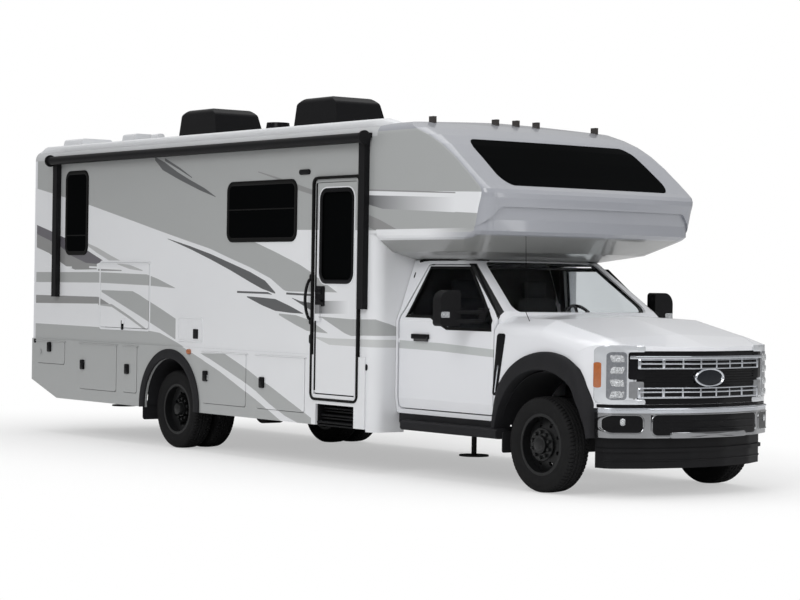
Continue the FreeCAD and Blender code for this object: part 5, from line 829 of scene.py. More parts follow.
def flares_and_boards():
    """The black arches: a rounded section (out from the arch, proud of the body) carried round each wheel."""
    made = Surface()
    angles = np.linspace(arch_outer[0][0], arch_outer[-1][0], 70)
    outer = np.interp(angles, *np.array(arch_outer).T)
    inner = np.interp(angles, *np.array(arch_inner).T)
    angles = np.radians(angles)[:, None]
    shares, proud = np.array(arch_section).T
    radius = inner[:, None] + (outer - inner)[:, None] * shares[None, :]
    x = front_axle_x + radius * np.cos(angles)
    z = tyre_radius + radius * np.sin(angles)
    body_y = np.interp(x, clip_line[::-1, 0], clip_line[::-1, 1])
    body_y = np.where(x < front_axle_x + arch_straight_to, cab_half, body_y)
    reach = math.asin((rear_arch_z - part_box("skirts")[0].z) / rear_arch_opening) * rear_arch_reach
    front_centre, rear_centre = (front_axle_x, 0, tyre_radius), (rear_axle_x, 0, rear_arch_z)
    for sign in sides.values():
        made.add(np.stack((x, sign * (body_y + proud[None, :]), z), axis=-1))
        made.add(turned_rows(front_centre, sign, front_liner, 0.0, *np.radians(front_liner_turn), 40))
        made.add(turned_rows(rear_centre, sign, rear_arch, coach_half + skirt_proud, -reach, np.pi + reach, 80))
        made.add(turned_rows(rear_centre, sign, rear_liner, 0.0, -reach / 2, np.pi + reach / 2, 50))
        for start, end, steps, *size in side_bars:
            along = np.linspace(front_axle_x - start, front_axle_x - end, steps)
            made.add(beam(on_side(sign, 0.0), along, *size))
        start, end, steps = side_bars[0][:3]
        along = np.linspace(front_axle_x - start, front_axle_x - end, steps)[1:-1]
        for k in range(ridge_count):
            made.add(beam(on_top(board_top), along, sign * (ridge_start + ridge_pitch * k), *ridge_size))
        for axle_x, (behind, y, *size) in ((front_axle_x, front_flap), (rear_axle_x, rear_flap)):
            made.add(crowned(on_end(axle_x - behind), sign * y, *size))
    made.finish("wheel_arches_and_running_boards", "arch", "body", ("flares_and_boards",))


flares_and_boards()


def plates(surface, place, rows, way=1.0):
    """Adds a crowned plate for each row; way mirrors the first number, the place along the face."""
    for u, *rest in rows:
        surface.add(crowned(place, way * u, *rest))


def bars(surface, place, rows):
    """Adds a rounded bar for each row: half length, steps, then what beam() takes after its line."""
    for half, steps, *rest in rows:
        surface.add(beam(place, np.linspace(-half, half, steps), *rest))


# Front end, on the plan line's face
# Plates: y, z, half width, half height, corner, proud, crown, sunk and a lean
# Bars: half length, steps, z, half height, inner and outer face and a corner

chrome_bars = ((0.76, 61, 1.161, 0.013, -0.006, 0.02), (0.69, 61, 1.1415, 0.0035, -0.006, 0.014),
               (0.69, 61, 1.1095, 0.0065, -0.006, 0.014), (0.69, 61, 1.0705, 0.0055, -0.006, 0.014),
               (0.69, 61, 0.9085, 0.0055, -0.006, 0.014), (0.69, 61, 0.876, 0.006, -0.006, 0.014),
               (0.69, 61, 0.8305, 0.0075, -0.006, 0.014))
band_heights = ((1.066, 1.15), (0.826, 0.912))
# Uprights in the two bands: y, half width
uprights = ((-0.455, 0.013), (-0.27, 0.008), (-0.09, 0.0085), (0.09, 0.0085), (0.27, 0.008), (0.455, 0.013))
upright_size = (0.004, 0.013, 0.2, 0.006)
end_upright = (0.684, 0.014)
end_upright_size = (0.006, 0.016, 0.2, 0.006)
grille_back = (0.0, 1.0, 0.7, 0.19, 0.02, 0.0015, 0.0, 0.01)
louvre_heights = (0.945, 1.052)
louvre = (0.0055, -0.004, 0.008)
louvre_half = 0.69 * 0.97
grille_ends = ((0.701, 1.092, 0.07, 0.113, 0.02, 0.009, 0.15, 0.012),)
dark_bars = ((0.69 * 1.03, 61, 1.194, 0.0195, -0.02, 0.004), (0.69, 61, 0.799, 0.024, -0.02, 0.004),
             (0.95, 61, 0.76, 0.014, -0.03, 0.006))
oval_wide = 2.2
oval_rim = (0.0, 0.994, 0.072, 0.072, 0.0719)
oval_section = ((-0.008, 0.012), (-0.006, 0.026), (0.0, 0.031), (0.005, 0.027), (0.008, 0.0), (0.0, -0.004))
oval_plain = (0.0, 0.994, 0.067, 0.067, 0.0669, 0.022, 0.25, 0.004)
lamp_surrounds = ((0.845, 1.017, 0.117, 0.243, 0.05, 0.008, 0.3, 0.01),
                  (0.725, 1.232, 0.1, 0.027, 0.02, 0.008, 0.3, 0.01),
                  (0.72, 0.795, 0.1, 0.021, 0.015, 0.008, 0.3, 0.01))
lamp_blocks = ((0.701, 0.895, 0.062, 0.068, 0.012, 0.012, 0.2, 0.012),)
lamp_lenses = ((0.848, 1.008, 0.069, 0.198, 0.03, 0.011, 0.2, 0.01),)
lamp_cells = tuple(row for k, z in enumerate((0.855, 0.95, 1.055, 1.15)) for row in (
    (0.848, z, 0.052, 0.034, 0.016, 0.021, 0.75, 0.004, 0.25 * (-1) ** k),
    (0.848, z, 0.02, 0.018, 0.017, 0.024, 0.6, 0.004)))
side_reflectors = ((0.949, 1.014, 0.014, 0.106, 0.013, 0.012, 0.4, 0.01),)
# Openings in the bumper: y, z, half width, half height, corner
side_opening = (0.804, 0.615, 0.136, 0.074, 0.045)
middle_opening = (0.0, 0.607, 0.6, 0.088, 0.05)
opening_fill = (0.004, 0.1, 0.006)
opening_lip = ((-0.005, 0.001), (-0.004, 0.005), (0.0, 0.008), (0.005, 0.005), (0.008, -0.002), (0.0, -0.004))
fog_lamps = ((0.822, 0.632, 0.02, 0.03, 0.019, 0.014, 0.5, 0.004),)
bumper_fold = ((0.0, 0.522, 0.44, 0.024, 0.02, 0.01, 0.2, 0.006),)
bumper_top = ((0.93, 61, 0.737, 0.011, -0.02, 0.006, 0.9),)
opening_slats = ((0.55, 41, 0.575, 0.006, 0.0, 0.008), (0.55, 41, 0.635, 0.006, 0.0, 0.008))
dam_ridge = ((0.89, 61, 0.31, 0.008, -0.01, 0.007, 0.9),)


def grille_and_headlamps():
    """Grille bars and cells, the plain oval and the headlamps, laid on the fenders' plan line."""
    face = on_front(clip_line)
    chrome, dark, oval, plain = Surface(), Surface(), Surface(), Surface()
    bars(chrome, face, chrome_bars)
    for low, high in band_heights:
        middle, half = (low + high) / 2, (high - low) / 2
        for y, wide in uprights:
            chrome.add(crowned(face, y, middle, wide, half, *upright_size))
        for sign in sides.values():
            chrome.add(crowned(face, sign * end_upright[0], middle, end_upright[1], half, *end_upright_size))
    chrome.finish("grille_chrome_bars", "chrome", "body")
    plates(dark, face, (grille_back,))
    bars(dark, face, ((louvre_half, 61, z, *louvre) for z in np.linspace(*louvre_heights, 6)))
    for sign in sides.values():
        plates(dark, face, grille_ends, sign)
    bars(dark, face, dark_bars)
    dark.finish("grille_black_louvres", "gloss", "body")
    stretched = lambda u, v, w: face(oval_wide * u, v, w)
    oval.add(ring(stretched, *oval_rim, oval_section), wrap_rows=True)
    oval.finish("oval_rim", "chrome", "body")
    plates(plain, stretched, (oval_plain,))
    plain.finish("plain_oval", "plate", "body")
    for rows, name, finish in ((lamp_surrounds, "headlamp_surrounds", "housing"),
                               (lamp_blocks, "headlamp_inner_blocks", "frame_grey"),
                               (lamp_lenses, "headlamp_lenses", "lens_dim"),
                               (lamp_cells, "headlamp_reflectors", "lens"),
                               (side_reflectors, "side_reflectors", "amber")):
        made = Surface()
        for sign in sides.values():
            plates(made, face, rows, sign)
        made.finish(name, finish, "body")


def bumper_and_dam():
    """Bumper openings with their lips, fog lamps and the air dam's ridge, laid on their own plan lines."""
    face = on_front(bumper_line)
    dark, lips, fog, ridge = Surface(), Surface(), Surface(), Surface()
    for way, (y, *size) in ((-1, side_opening), (1, side_opening), (1, middle_opening)):
        dark.add(crowned(face, way * y, *size, *opening_fill))
        lips.add(ring(face, way * y, *size, opening_lip), wrap_rows=True)
    for sign in sides.values():
        plates(fog, face, fog_lamps, sign)
    plates(lips, face, bumper_fold)
    bars(lips, face, bumper_top)
    bars(dark, face, opening_slats)
    dark.finish("bumper_openings", "gloss", "body")
    lips.finish("bumper_lips", "chrome", "body")
    fog.finish("fog_lamps", "lens", "body")
    bars(ridge, on_front(dam_line), dam_ridge)
    ridge.finish("air_dam_ridges", "black", "body")


grille_and_headlamps()
bumper_and_dam()


# Coach fittings
# Windows: side, x, z, half length, half height, and how far the bar across lies from the middle

coach_windows = ((-1, -3.82, 2.475, 0.245, 0.455, -0.25), (-1, -0.11, 2.4275, 0.605, 0.2875, 0.02),
                 (1, -0.11, 2.4275, 0.605, 0.2875, 0.02), (1, -2.1, 2.4275, 0.38, 0.2875, 0.02))
window_corner = 0.085
window_rubber = ((-0.03, 0.006), (-0.026, 0.009), (0.0, 0.0105), (0.01, 0.009), (0.0135, 0.005), (0.0135, -0.003),
                 (-0.03, -0.003))
window_bar = (0.006, 0.004, 0.01)
door_frame = (1.169, 1.683, 0.362, 1.03, 0.05)
door_frame_section = ((-0.004, -0.003), (-0.004, 0.02), (0.002, 0.027), (0.02, 0.025), (0.026, -0.003))
door_proud = 0.01
door_window = (1.179, 2.1765, 0.273, 0.4415, 0.1)
door_window_rim = ((0.006, 0.0), (0.007, 0.006), (0.012, 0.007), (0.017, 0.005), (0.02, -0.003))
door_window_rubber = ((-0.035, 0.0), (-0.032, 0.004), (0.0, 0.005), (0.007, 0.002), (0.007, -0.003), (-0.035, -0.003))
# Plates on the sides: x, z, half length, half height, corner, proud, crown, sunk
lock_plates = ((0.925, 1.612, 0.075, 0.095, 0.014, 0.012, 0.3, 0.002),
               (0.925, 1.66, 0.04, 0.03, 0.008, 0.02, 0.3, 0.0))
lock_pull = (0.885, 0.975, 1.57, 0.011, 0.01, 0.034, 0.6)
door_edges = ((1.504, 1.7, 0.0135, 0.975, 0.004, 0.004, 0.2, 0.002),
              (0.852, 1.7, 0.0115, 0.975, 0.004, 0.004, 0.2, 0.002))
latch_places = (("corner", -4.38, 0.97, "right"), ("rear", -3.61, 0.8, "right"), ("narrow", -2.636, 0.788, "right"),
                ("middle", -1.061, 0.779, "right"), ("front", -0.027, 0.759, "right"),
                ("rear", -3.61, 0.8, "left"), ("front", -0.027, 0.759, "left"))
latch_base = (0.04, 0.054, 0.018, 0.024, 0.12, 0.004)
latch_pull = (0.027, 0.036, 0.01, 0.027, 0.1, 0.0)
latch_drop = 0.004
kitchen_latch = ((-2.777, 1.255, 0.024, 0.052, 0.01, 0.014, 0.35, 0.002),)
kitchen_frame = (-2.748, 1.572, 0.524, 0.356, 0.03)
access_frame = (-1.403, 1.241, 0.226, 0.112, 0.02)
access_lid = ((-1.403, 1.241, 0.222, 0.108, 0.018, 0.005, 0.1, 0.002),)
frame_section = ((-0.003, -0.002), (-0.003, 0.003), (0.004, 0.006), (0.016, 0.005), (0.02, -0.002))
right_ports = ((-1.285, 1.198, 0.046, 0.05, 0.012, 0.016, 0.3, 0.0),
               (0.633, 2.787, 0.09, 0.025, 0.024, 0.02, 0.4, 0.002),
               (0.765, 1.204, 0.024, 0.045, 0.023, 0.01, 0.4, 0.002),
               (1.65, 0.97, 0.03, 0.03, 0.02, 0.012, 0.5, 0.002),
               (-4.74, 1.03, 0.03, 0.024, 0.01, 0.02, 0.3, 0.002))
left_vent = ((-1.403, 1.2, 0.16, 0.09, 0.02, 0.012, 0.3, 0.002),)
vent_slat_ends = (-1.53, -1.28)
vent_slat_low = 1.15
vent_slat_pitch = 0.033
vent_slat_count = 4
vent_slat_size = (0.006, 0.01, 0.018)
side_markers = ((-1.39, 1.014, 0.034, 0.026, 0.02, 0.042, 0.3, 0.002),)


def coach_fittings():
    """Window rubbers, door frame, latches, marker lamps and ports on the coach sides."""
    right, left = on_side(-1, coach_half), on_side(1, coach_half)
    seals, rim, lock, kitchen, frames, black, markers = (Surface() for _ in range(7))
    for sign, u, v, half_u, half_v, bar in coach_windows:
        place = on_side(sign, coach_half)
        seals.add(ring(place, u, v, half_u, half_v, window_corner, window_rubber), wrap_rows=True)
        seals.add(beam(place, np.linspace(u - half_u, u + half_u, 9), v + bar, *window_bar))
    seals.add(ring(right, *door_frame, door_frame_section), wrap_rows=True)
    seals.finish("window_rubbers_and_door_frame", "seal", "body")
    face = on_side(-1, coach_half + door_proud)
    rim.add(ring(face, *door_window, door_window_rim), wrap_rows=True)
    rim.finish("door_window_rim", "frame", "entry_door")
    lock.add(ring(face, *door_window, door_window_rubber), wrap_rows=True)
    plates(lock, face, lock_plates)
    start, end, *size = lock_pull
    lock.add(beam(face, np.linspace(start, end, 5), *size))
    plates(lock, face, door_edges)
    lock.finish("entry_door_lock", "gloss", "entry_door")
    for name, u, v, side in latch_places:
        made = Surface()
        face = on_side(sides[side], coach_half + skirt_proud)
        made.add(crowned(face, u, v, *latch_base))
        made.add(crowned(face, u, v - latch_drop, *latch_pull))
        made.finish("latch_" + side + "_" + name, "gloss", "locker_door_" + side + "_" + name)
    plates(kitchen, right, kitchen_latch)
    kitchen.finish("kitchen_latch", "gloss", "kitchen_door")
    for hatch in (kitchen_frame, access_frame):
        frames.add(ring(right, *hatch, frame_section), wrap_rows=True)
    plates(frames, right, access_lid)
    frames.finish("hatch_frames", "frame", "body")
    plates(black, right, right_ports)
    plates(black, left, left_vent)
    for k in range(vent_slat_count):
        black.add(beam(left, np.linspace(*vent_slat_ends, 8), vent_slat_low + vent_slat_pitch * k, *vent_slat_size))
    black.finish("ports_and_lights", "black", "body")
    plates(markers, right, side_markers)
    plates(markers, left, side_markers)
    markers.finish("side_markers", "amber", "body")


coach_fittings()


# The roof's edge: its section as (|y|, z), and what it draws in to at its front end
edge_section = ((1.165, 3.15), (1.21, 3.165), (1.218, 3.195), (1.205, 3.228), (1.17, 3.244), (1.1, 3.25),
                (1.04, 3.235), (1.04, 3.2))
edge_middle = (1.12, 3.17)
edge_front_x = 2.12
# Lift along the edge, first three measured from the coach's rear: (x, lift)
edge_lift = ((coach_rear_x + 0.03, -0.05), (coach_rear_x + 0.07, -0.018), (coach_rear_x + 0.14, 0.0), (1.75, 0.0),
             (2.12, -0.03))
edge_share = ((1.8, 1.0), (2.12, 0.2))
# Across the back: (in from the rear wall, z), half its length and how it rises to the middle
back_section = ((0.0, 3.16), (0.004, 3.2), (0.03, 3.234), (0.09, 3.25), (0.16, 3.24), (0.16, 3.18))
back_half = 1.06
back_rise = 0.03
back_rise_half = 1.1
back_inset = 0.002


def roof_mouldings():
    """The pale rounded edge along both sides of the roof and across its back: a section carried along each."""
    made = Surface()
    section, middle = np.array(edge_section), np.array(edge_middle)
    x = np.linspace(edge_lift[0][0], edge_front_x, 60)
    lift = np.interp(x, *np.array(edge_lift).T)
    share = np.interp(x, *np.array(edge_share).T)[:, None]
    for sign in sides.values():
        y = sign * (middle[0] + share * (section[None, :, 0] - middle[0]))
        z = middle[1] + share * (section[None, :, 1] - middle[1]) + lift[:, None]
        made.add(np.stack((x[:, None] + 0 * y, y, z), axis=-1))
    y = np.linspace(-back_half, back_half, 30)[:, None]
    back = np.array(back_section)[None]
    rise = back_rise * (1 - (y / back_rise_half) ** 2)
    made.add(np.stack(np.broadcast_arrays(coach_rear_x + back_inset + back[..., 0], y, back[..., 1] + rise), axis=-1))
    made.finish("roof_edge_mouldings", "frame", "body")


roof_mouldings()


# Rear wall: |y| or y, z, half width, half height, corner, proud, crown, sunk
rear_bases = ((1.12, 1.37, 0.07, 0.2, 0.03, 0.012, 0.2, 0.002),)
rear_reds = ((1.12, 1.45, 0.052, 0.1, 0.022, 0.026, 0.4, 0.002), (1.05, 3.02, 0.05, 0.018, 0.016, 0.02, 0.5, 0.002),
             (1.0, 0.72, 0.045, 0.03, 0.012, 0.012, 0.4, 0.002), (0.2, 3.05, 0.05, 0.018, 0.016, 0.02, 0.5, 0.002))
rear_clears = ((1.12, 1.27, 0.052, 0.062, 0.022, 0.024, 0.4, 0.002),)
middle_reds = ((0.0, 3.05, 0.05, 0.018, 0.016, 0.02, 0.5, 0.002), (0.0, 2.86, 0.16, 0.02, 0.016, 0.018, 0.4, 0.002))
plate_base = ((0.0, 1.0, 0.2, 0.11, 0.02, 0.01, 0.1, 0.002),)
plate_blank = ((0.0, 0.985, 0.155, 0.078, 0.012, 0.014, 0.05, 0.002),)
plate_light = ((0.0, 1.09, 0.05, 0.012, 0.01, 0.026, 0.4, 0.002),)


def rear_face():
    """Lamps with clear and red parts, top markers, a high stop lamp, a blank plate and its light on the rear wall."""
    back = on_end(coach_rear_x, -1.0)
    for name, finish, paired, single in (("rear_red_lamps", "tail", rear_reds, middle_reds),
                                         ("rear_clear_lamps", "lens", rear_clears, plate_light),
                                         ("rear_lamp_bases", "black", rear_bases, plate_base),
                                         ("blank_plate", "frame", (), plate_blank)):
        made = Surface()
        for sign in sides.values():
            plates(made, back, paired, sign)
        plates(made, back, single)
        made.finish(name, finish, "body")


rear_face()


# The folded step: front and rear ends behind the front axle, then treads as (z, outer y)
step_ends = (3.0, 2.39)
step_treads = ((0.43, 1.245), (0.495, 1.215), (0.56, 1.185))
step_back = (0.502, 0.094, 0.84, 0.86, 0.2)
step_cheek = (0.502, 0.096, 0.845, 1.235, 0.15)
cheek_thickness = 0.018
tread_size = (0.014, 0.2, 0.0, 0.6)
tread_lip = (0.01, 0.19, 0.012, 0.4)
tread_lip_drop = 0.028
# The grab handle: its place, foot, length, how far it stands out, how it bows, and its feet
handle_x = 0.762
handle_low = 1.385
handle_length = 0.39
handle_gap = 0.006
handle_bow = 0.064
handle_bow_power = 0.55
handle_radius = 0.0145
handle_feet = ((0.762, 1.375, 0.021, 0.034, 0.018, 0.018, 0.5, 0.002),
               (0.762, 1.785, 0.021, 0.034, 0.018, 0.018, 0.5, 0.002))


def entry_step():
    """The folded step under the door (treads carried along x, each a rounded bar) and the bowed grab handle."""
    made = Surface()
    side = on_side(-1, 0.0)
    rear, front = (front_axle_x - end for end in step_ends)
    along = np.linspace(rear, front, 12)
    for z, out in step_treads:
        for drop, (half, deep, back, corner) in ((0.0, tread_size), (tread_lip_drop, tread_lip)):
            made.add(beam(side, along, z - drop, half, out - deep, out - back, corner))
    made.add(beam(side, along, *step_back))
    for end in (rear, front - cheek_thickness):
        made.add(beam(side, np.linspace(end, end + cheek_thickness, 3), *step_cheek))
    t = np.linspace(0, 1, 25)
    out = coach_half + handle_gap + handle_bow * np.sin(np.pi * t) ** handle_bow_power
    made.add(tube(np.stack((handle_x + 0 * t, -out, handle_low + handle_length * t), axis=-1), handle_radius, 12))
    plates(made, on_side(-1, coach_half), handle_feet)
    made.finish("entry_step_and_grab_handle", "black", "body", ("entry_step_and_handle",))


entry_step()


# Cab inside: places measured back from the front axle

seat_y = 0.42
seat_lean = math.radians(11)
# Half sizes, how full, and the place (behind the axle, z) of cushion, back and head rest
seat_cushion = ((0.235, 0.255, 0.068), 0.12, (1.53, 1.078))
seat_back = ((0.265, 0.245, 0.06), 0.14, (1.775, 1.36))
seat_head = ((0.085, 0.13, 0.05), 0.1, (1.845, 1.7))
dash_half = 0.9
dash_place = (0.85, 1.295)
dash_section = (0.15, 0.165, 0.08, 24)
dash_bow = 0.03
dash_bow_turn = 1.5
dash_hump = 0.025
dash_hump_width = 0.2
wheel_place = (1.17, 0.42, 1.4)
wheel_tilt = math.radians(28)
wheel_radius = 0.18
wheel_rim = 0.015
spoke_turns = (0.0, 2.3, 3.98)
spoke_ends = (0.02, 0.175)
spoke_radius = 0.014
boss_half = 0.03
boss_radius = 0.05
column_length = 0.24
column_drop = 0.3
column_radius = 0.026
# Dark lining: behind the axle or height, then what crowned() takes
lining_back = (2.04, (0.0, 1.38, 0.86, 0.52, 0.12, 0.03, 0.3, 0.0))
lining_roof = (1.9, (1.66, 0.0, 0.36, 0.66, 0.1, 0.012, 0.3, 0.012))
lining_floor = (0.86, (1.35, 0.0, 0.66, 0.84, 0.1, 0.012, 0.3, 0.012))
door_card = (0.925, (1.36, 1.06, 0.54, 0.36, 0.1, -0.012, 0.2, -0.006))


def cushion_form(half, puff):
    """A crowned cushion: a superellipsoid |x/a|^n + |y/b|^n + |z/c|^n = 1, fuller in the middle by puff."""
    a = np.linspace(0, 2 * np.pi, 56, endpoint=False)[None, :]
    b = np.linspace(-0.995, 0.995, 33)[:, None] * np.pi / 2
    bent = lambda c, n: np.sign(c) * np.abs(c) ** n
    flat = bent(np.cos(b), 0.32)
    x = half[0] * flat * bent(np.cos(a), 0.38)
    y = half[1] * flat * bent(np.sin(a), 0.38)
    z = half[2] * bent(np.sin(b), 0.55) + 0 * a
    middle = [np.cos(np.pi / 2 * np.clip(value / size, -1, 1)) for value, size in ((x, half[0]), (y, half[1]))]
    return np.stack((x, y, z * (1 + puff * middle[0] * middle[1])), axis=-1)


def seats():
    """Two padded seats: cushion, back and head rest as swollen superellipsoids, the back leant over."""
    for side, sign in sides.items():
        y = seat_y * sign
        made = Surface()
        half, puff, (behind, z) = seat_cushion
        made.add(cushion_form(half, puff) + np.array((front_axle_x - behind, y, z)))
        half, puff, (behind, z) = seat_back
        back = cushion_form(half, puff)
        thick, up = -back[..., 2], back[..., 0]
        x = thick * math.cos(seat_lean) - up * math.sin(seat_lean) + front_axle_x - behind
        made.add(np.stack((x, back[..., 1] + y, thick * math.sin(seat_lean) + up * math.cos(seat_lean) + z), axis=-1))
        half, puff, (behind, z) = seat_head
        head = cushion_form(half, puff)
        made.add(np.stack((-head[..., 2] + front_axle_x - behind, head[..., 1] + y, head[..., 0] + z), axis=-1))
        piece = made.finish("cab_seat_" + side, "cloth", "body")


def dash_and_wheel():
    """The dash, a rounded section carried across with a hump, and the wheel: a ring, spokes, boss and column."""
    made = Surface()
    y = np.linspace(-dash_half, dash_half, 25)
    hump = dash_hump * np.exp(-((y - seat_y) / dash_hump_width) ** 2)
    loop, _ = rounded(*dash_section)
    x = front_axle_x - dash_place[0] + loop[None, :, 0] - dash_bow * np.cos(y * dash_bow_turn)[:, None]
    z = dash_place[1] + loop[None, :, 1] + hump[:, None] * (loop[None, :, 1] > 0)
    made.add(np.stack((x, y[:, None] + 0 * x, z), axis=-1))
    hub = np.array((front_axle_x - wheel_place[0], *wheel_place[1:]))
    over = np.array((-math.sin(wheel_tilt), 0.0, math.cos(wheel_tilt)))
    across = np.array((0.0, 1.0, 0.0))
    axle = np.cross(across, over)
    t = np.linspace(0, 2 * np.pi, 49)[:-1, None, None]
    a = np.linspace(0, 2 * np.pi, 12, endpoint=False)[None, :, None]
    outward = np.cos(t) * across + np.sin(t) * over
    made.add(hub + outward * (wheel_radius + wheel_rim * np.cos(a)) + wheel_rim * np.sin(a) * axle, wrap_rows=True)
    rods = [(math.cos(way) * over + math.sin(way) * across, *spoke_ends, 6, spoke_radius, 8) for way in spoke_turns]
    rods.append((axle, -boss_half, boss_half, 4, boss_radius, 20))
    forward = np.array((math.cos(wheel_tilt), 0.0, -math.sin(wheel_tilt) * column_drop))
    rods.append((forward, 0.0, column_length, 5, column_radius, 12))
    for way, start, end, steps, radius, edges in rods:
        made.add(tube(hub + way * np.linspace(start, end, steps)[:, None], radius, edges))
    made.finish("dash_and_steering_wheel", "trim", "body", ("cab_interior",))


def cab_lining():
    """Dark plates behind the seats, under the roof and on the floor, and a card inside each door."""
    made = Surface()
    base, size = lining_back
    made.add(crowned(on_end(front_axle_x - base), *size))
    for base, (behind, *size) in (lining_roof, lining_floor):
        made.add(crowned(on_top(base), front_axle_x - behind, *size))
    made.finish("cab_lining", "trim", "body")
    for side, sign in sides.items():
        card = Surface()
        base, (behind, *size) = door_card
        card.add(crowned(on_side(sign, base), front_axle_x - behind, *size))
        card.finish("door_card_" + side, "trim", "cab_door_" + side)


seats()
dash_and_wheel()
cab_lining()


# Cab fittings: x, z, half length, half height, corner, proud, crown, sunk, lean, taper

fender_vent = ((3.258, 1.055, 0.043, 0.268, 0.025, 0.008, 0.3, 0.004, 0.153, 1.1),)
fender_vent_strip = ((3.244, 0.93, 0.007, 0.12, 0.006, 0.012, 0.3, 0.0, 0.153, 1.1),)
mirror_front_x = front_axle_x - 0.96
mirror_depth = 0.11
# On the mirror: in from its outer edge, then z, half width, half height, corner, proud, crown, sunk
mirror_lamp = (0.052, 1.475, 0.046, 0.026, 0.012, 0.008, 0.3, 0.006)
mirror_glasses = ((0.11, 1.56, 0.085, 0.105, 0.03, 0.003, 0.1, 0.004),
                  (0.11, 1.41, 0.08, 0.026, 0.02, 0.003, 0.1, 0.004))
mirror_lamp_gap = 0.0005
door_handle_ends = (2.045, 2.285)
door_handle_size = (1.266, 0.0225, 0.0, 0.026, 0.6)
# The cab door window's edge as (x, z), and its rim's section as (outwards, proud)
door_glass_edge = ((3.145, 1.348), (3.145, 1.425), (2.632, 1.888), (2.06, 1.888), (1.925, 1.448), (2.28, 1.448),
                   (2.53, 1.348))
door_glass_section = ((0.014, -0.004), (0.014, 0.0022), (-0.011, 0.0022), (-0.011, -0.015))
# The cab's half width by height: (z, y)
cab_half_widths = ((1.3, 1.01), (1.4, 1.01), (1.462, 0.985), (1.512, 0.96), (1.955, 0.8))
drip_rail = ((1.87, 0.803, 1.945), (1.93, 0.801, 1.957), (2.0, 0.8, 1.962), (2.2, 0.8, 1.963), (2.4, 0.797, 1.962),
             (2.52, 0.77, 1.958), (2.585, 0.7, 1.953), (2.61, 0.6, 1.952))
drip_rail_radius = 0.0115
# The aerial: its y, its line as (z, x) and its radius as (height over the foot, radius)
aerial_y = -0.885
aerial_line = ((1.261, 3.565), (1.42, 3.53), (1.5, 3.471), (2.164, 3.455))
aerial_radius = ((0.0, 0.012), (0.03, 0.009), (0.09, 0.0035), (0.903, 0.0022))


def vents_and_mirrors():
    """Fender vents with their bright strips, and lamps and glasses on the mirrors."""
    for rows, name, finish in ((fender_vent, "fender_vents", "gloss"),
                               (fender_vent_strip, "fender_vent_strips", "chrome")):
        made = Surface()
        for sign in sides.values():
            plates(made, on_side(sign, cab_half), rows)
        made.finish(name, finish, "body")
    for side, sign in sides.items():
        low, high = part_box("mirror_" + side)
        outer = max(abs(low.y), abs(high.y))
        lamp_plate, glass_plate = Surface(), Surface()
        inward, *size = mirror_lamp
        lamp_plate.add(crowned(on_end(mirror_front_x + mirror_lamp_gap), sign * (outer - inward), *size))
        lamp_plate.finish("mirror_lamp_" + side, "lens", "cab_door_" + side)
        for inward, *size in mirror_glasses:
            glass_plate.add(crowned(on_end(mirror_front_x - mirror_depth, -1.0), sign * (outer - inward), *size))
        glass_plate.finish("mirror_glass_" + side, "mirror", "cab_door_" + side)


def door_glass_rim(sign):
    """A thin section carried round the cab door's window: each corner moves along its mitre, edges stay straight."""
    corners = np.array(door_glass_edge)
    edge = np.roll(corners, -1, axis=0) - corners
    normal = np.stack((edge[:, 1], -edge[:, 0]), axis=-1) / np.linalg.norm(edge, axis=-1, keepdims=True)
    before = np.roll(normal, 1, axis=0)
    mitre = (before + normal) / (1 + (before * normal).sum(axis=-1, keepdims=True))
    t = np.linspace(0, 1, 9)[:-1, None, None]
    columns = []
    for out, proud in door_glass_section:
        moved = corners + out * mitre
        spread = (1 - t) * moved[None] + t * np.roll(moved, -1, axis=0)[None]
        x, z = spread.transpose(1, 0, 2).reshape(-1, 2).T
        half = np.interp(z, *np.array(cab_half_widths).T)
        columns.append(np.stack((x, sign * (half + proud), z), axis=-1))
    return np.stack(columns, axis=1)


def cab_trim():
    """Door handles, black rims round the door windows, drip rails over the doors, and the aerial."""
    for side, sign in sides.items():
        handle = Surface()
        handle.add(beam(on_side(sign, cab_half), np.linspace(*door_handle_ends, 12), *door_handle_size))
        handle.finish("door_handle_" + side, "gloss", "cab_door_" + side)
    for side, sign in sides.items():
        rim, drip = Surface(), Surface()
        rim.add(door_glass_rim(sign), wrap_rows=True)
        rim.finish("door_glass_rim_" + side, "seal", "cab_door_" + side, sharp=60.0)
        drip.add(tube(np.array(drip_rail) * (1, sign, 1), drip_rail_radius, 10))
        drip.finish("cab_drip_rail_" + side, "seal", "body")
    mast = Surface()
    z = np.linspace(aerial_line[0][0], aerial_line[-1][0], 12)
    x = np.interp(z, *np.array(aerial_line).T)
    radius = np.interp(z - z[0], *np.array(aerial_radius).T)
    mast.add(tube(np.stack((x, aerial_y + 0 * z, z), axis=-1), radius, 8))
    mast.finish("aerial", "gloss", "body")


vents_and_mirrors()
cab_trim()


# Studio

sky_span = (-0.05, 0.55)
sky_dim = 0.22
sky_bright = 0.62
floor_half = 60.0
floor_grey = (0.9, 0.9, 0.9, 1)
floor_span = (4.5, 9.0)
floor_lift = 0.45
floor_shape = (1.0, 1.7, 0.0)
# Lamps: name, place, target, size, power
lamps = (("key", (9, -16, 11), (0, 0, 1.5), 9.0, 1250), ("front", (16, 2, 6), (3, 0, 1.5), 6.0, 420),
         ("top", (0, 0, 14), (0, 0, 0), 12.0, 700))


def place_object(name, data, matrix=None):
    """An object in the scene, set at its place by a matrix."""
    made = bpy.data.objects.new(name, data)
    bpy.context.scene.collection.objects.link(made)
    if matrix:
        made.matrix_world = matrix
    return made


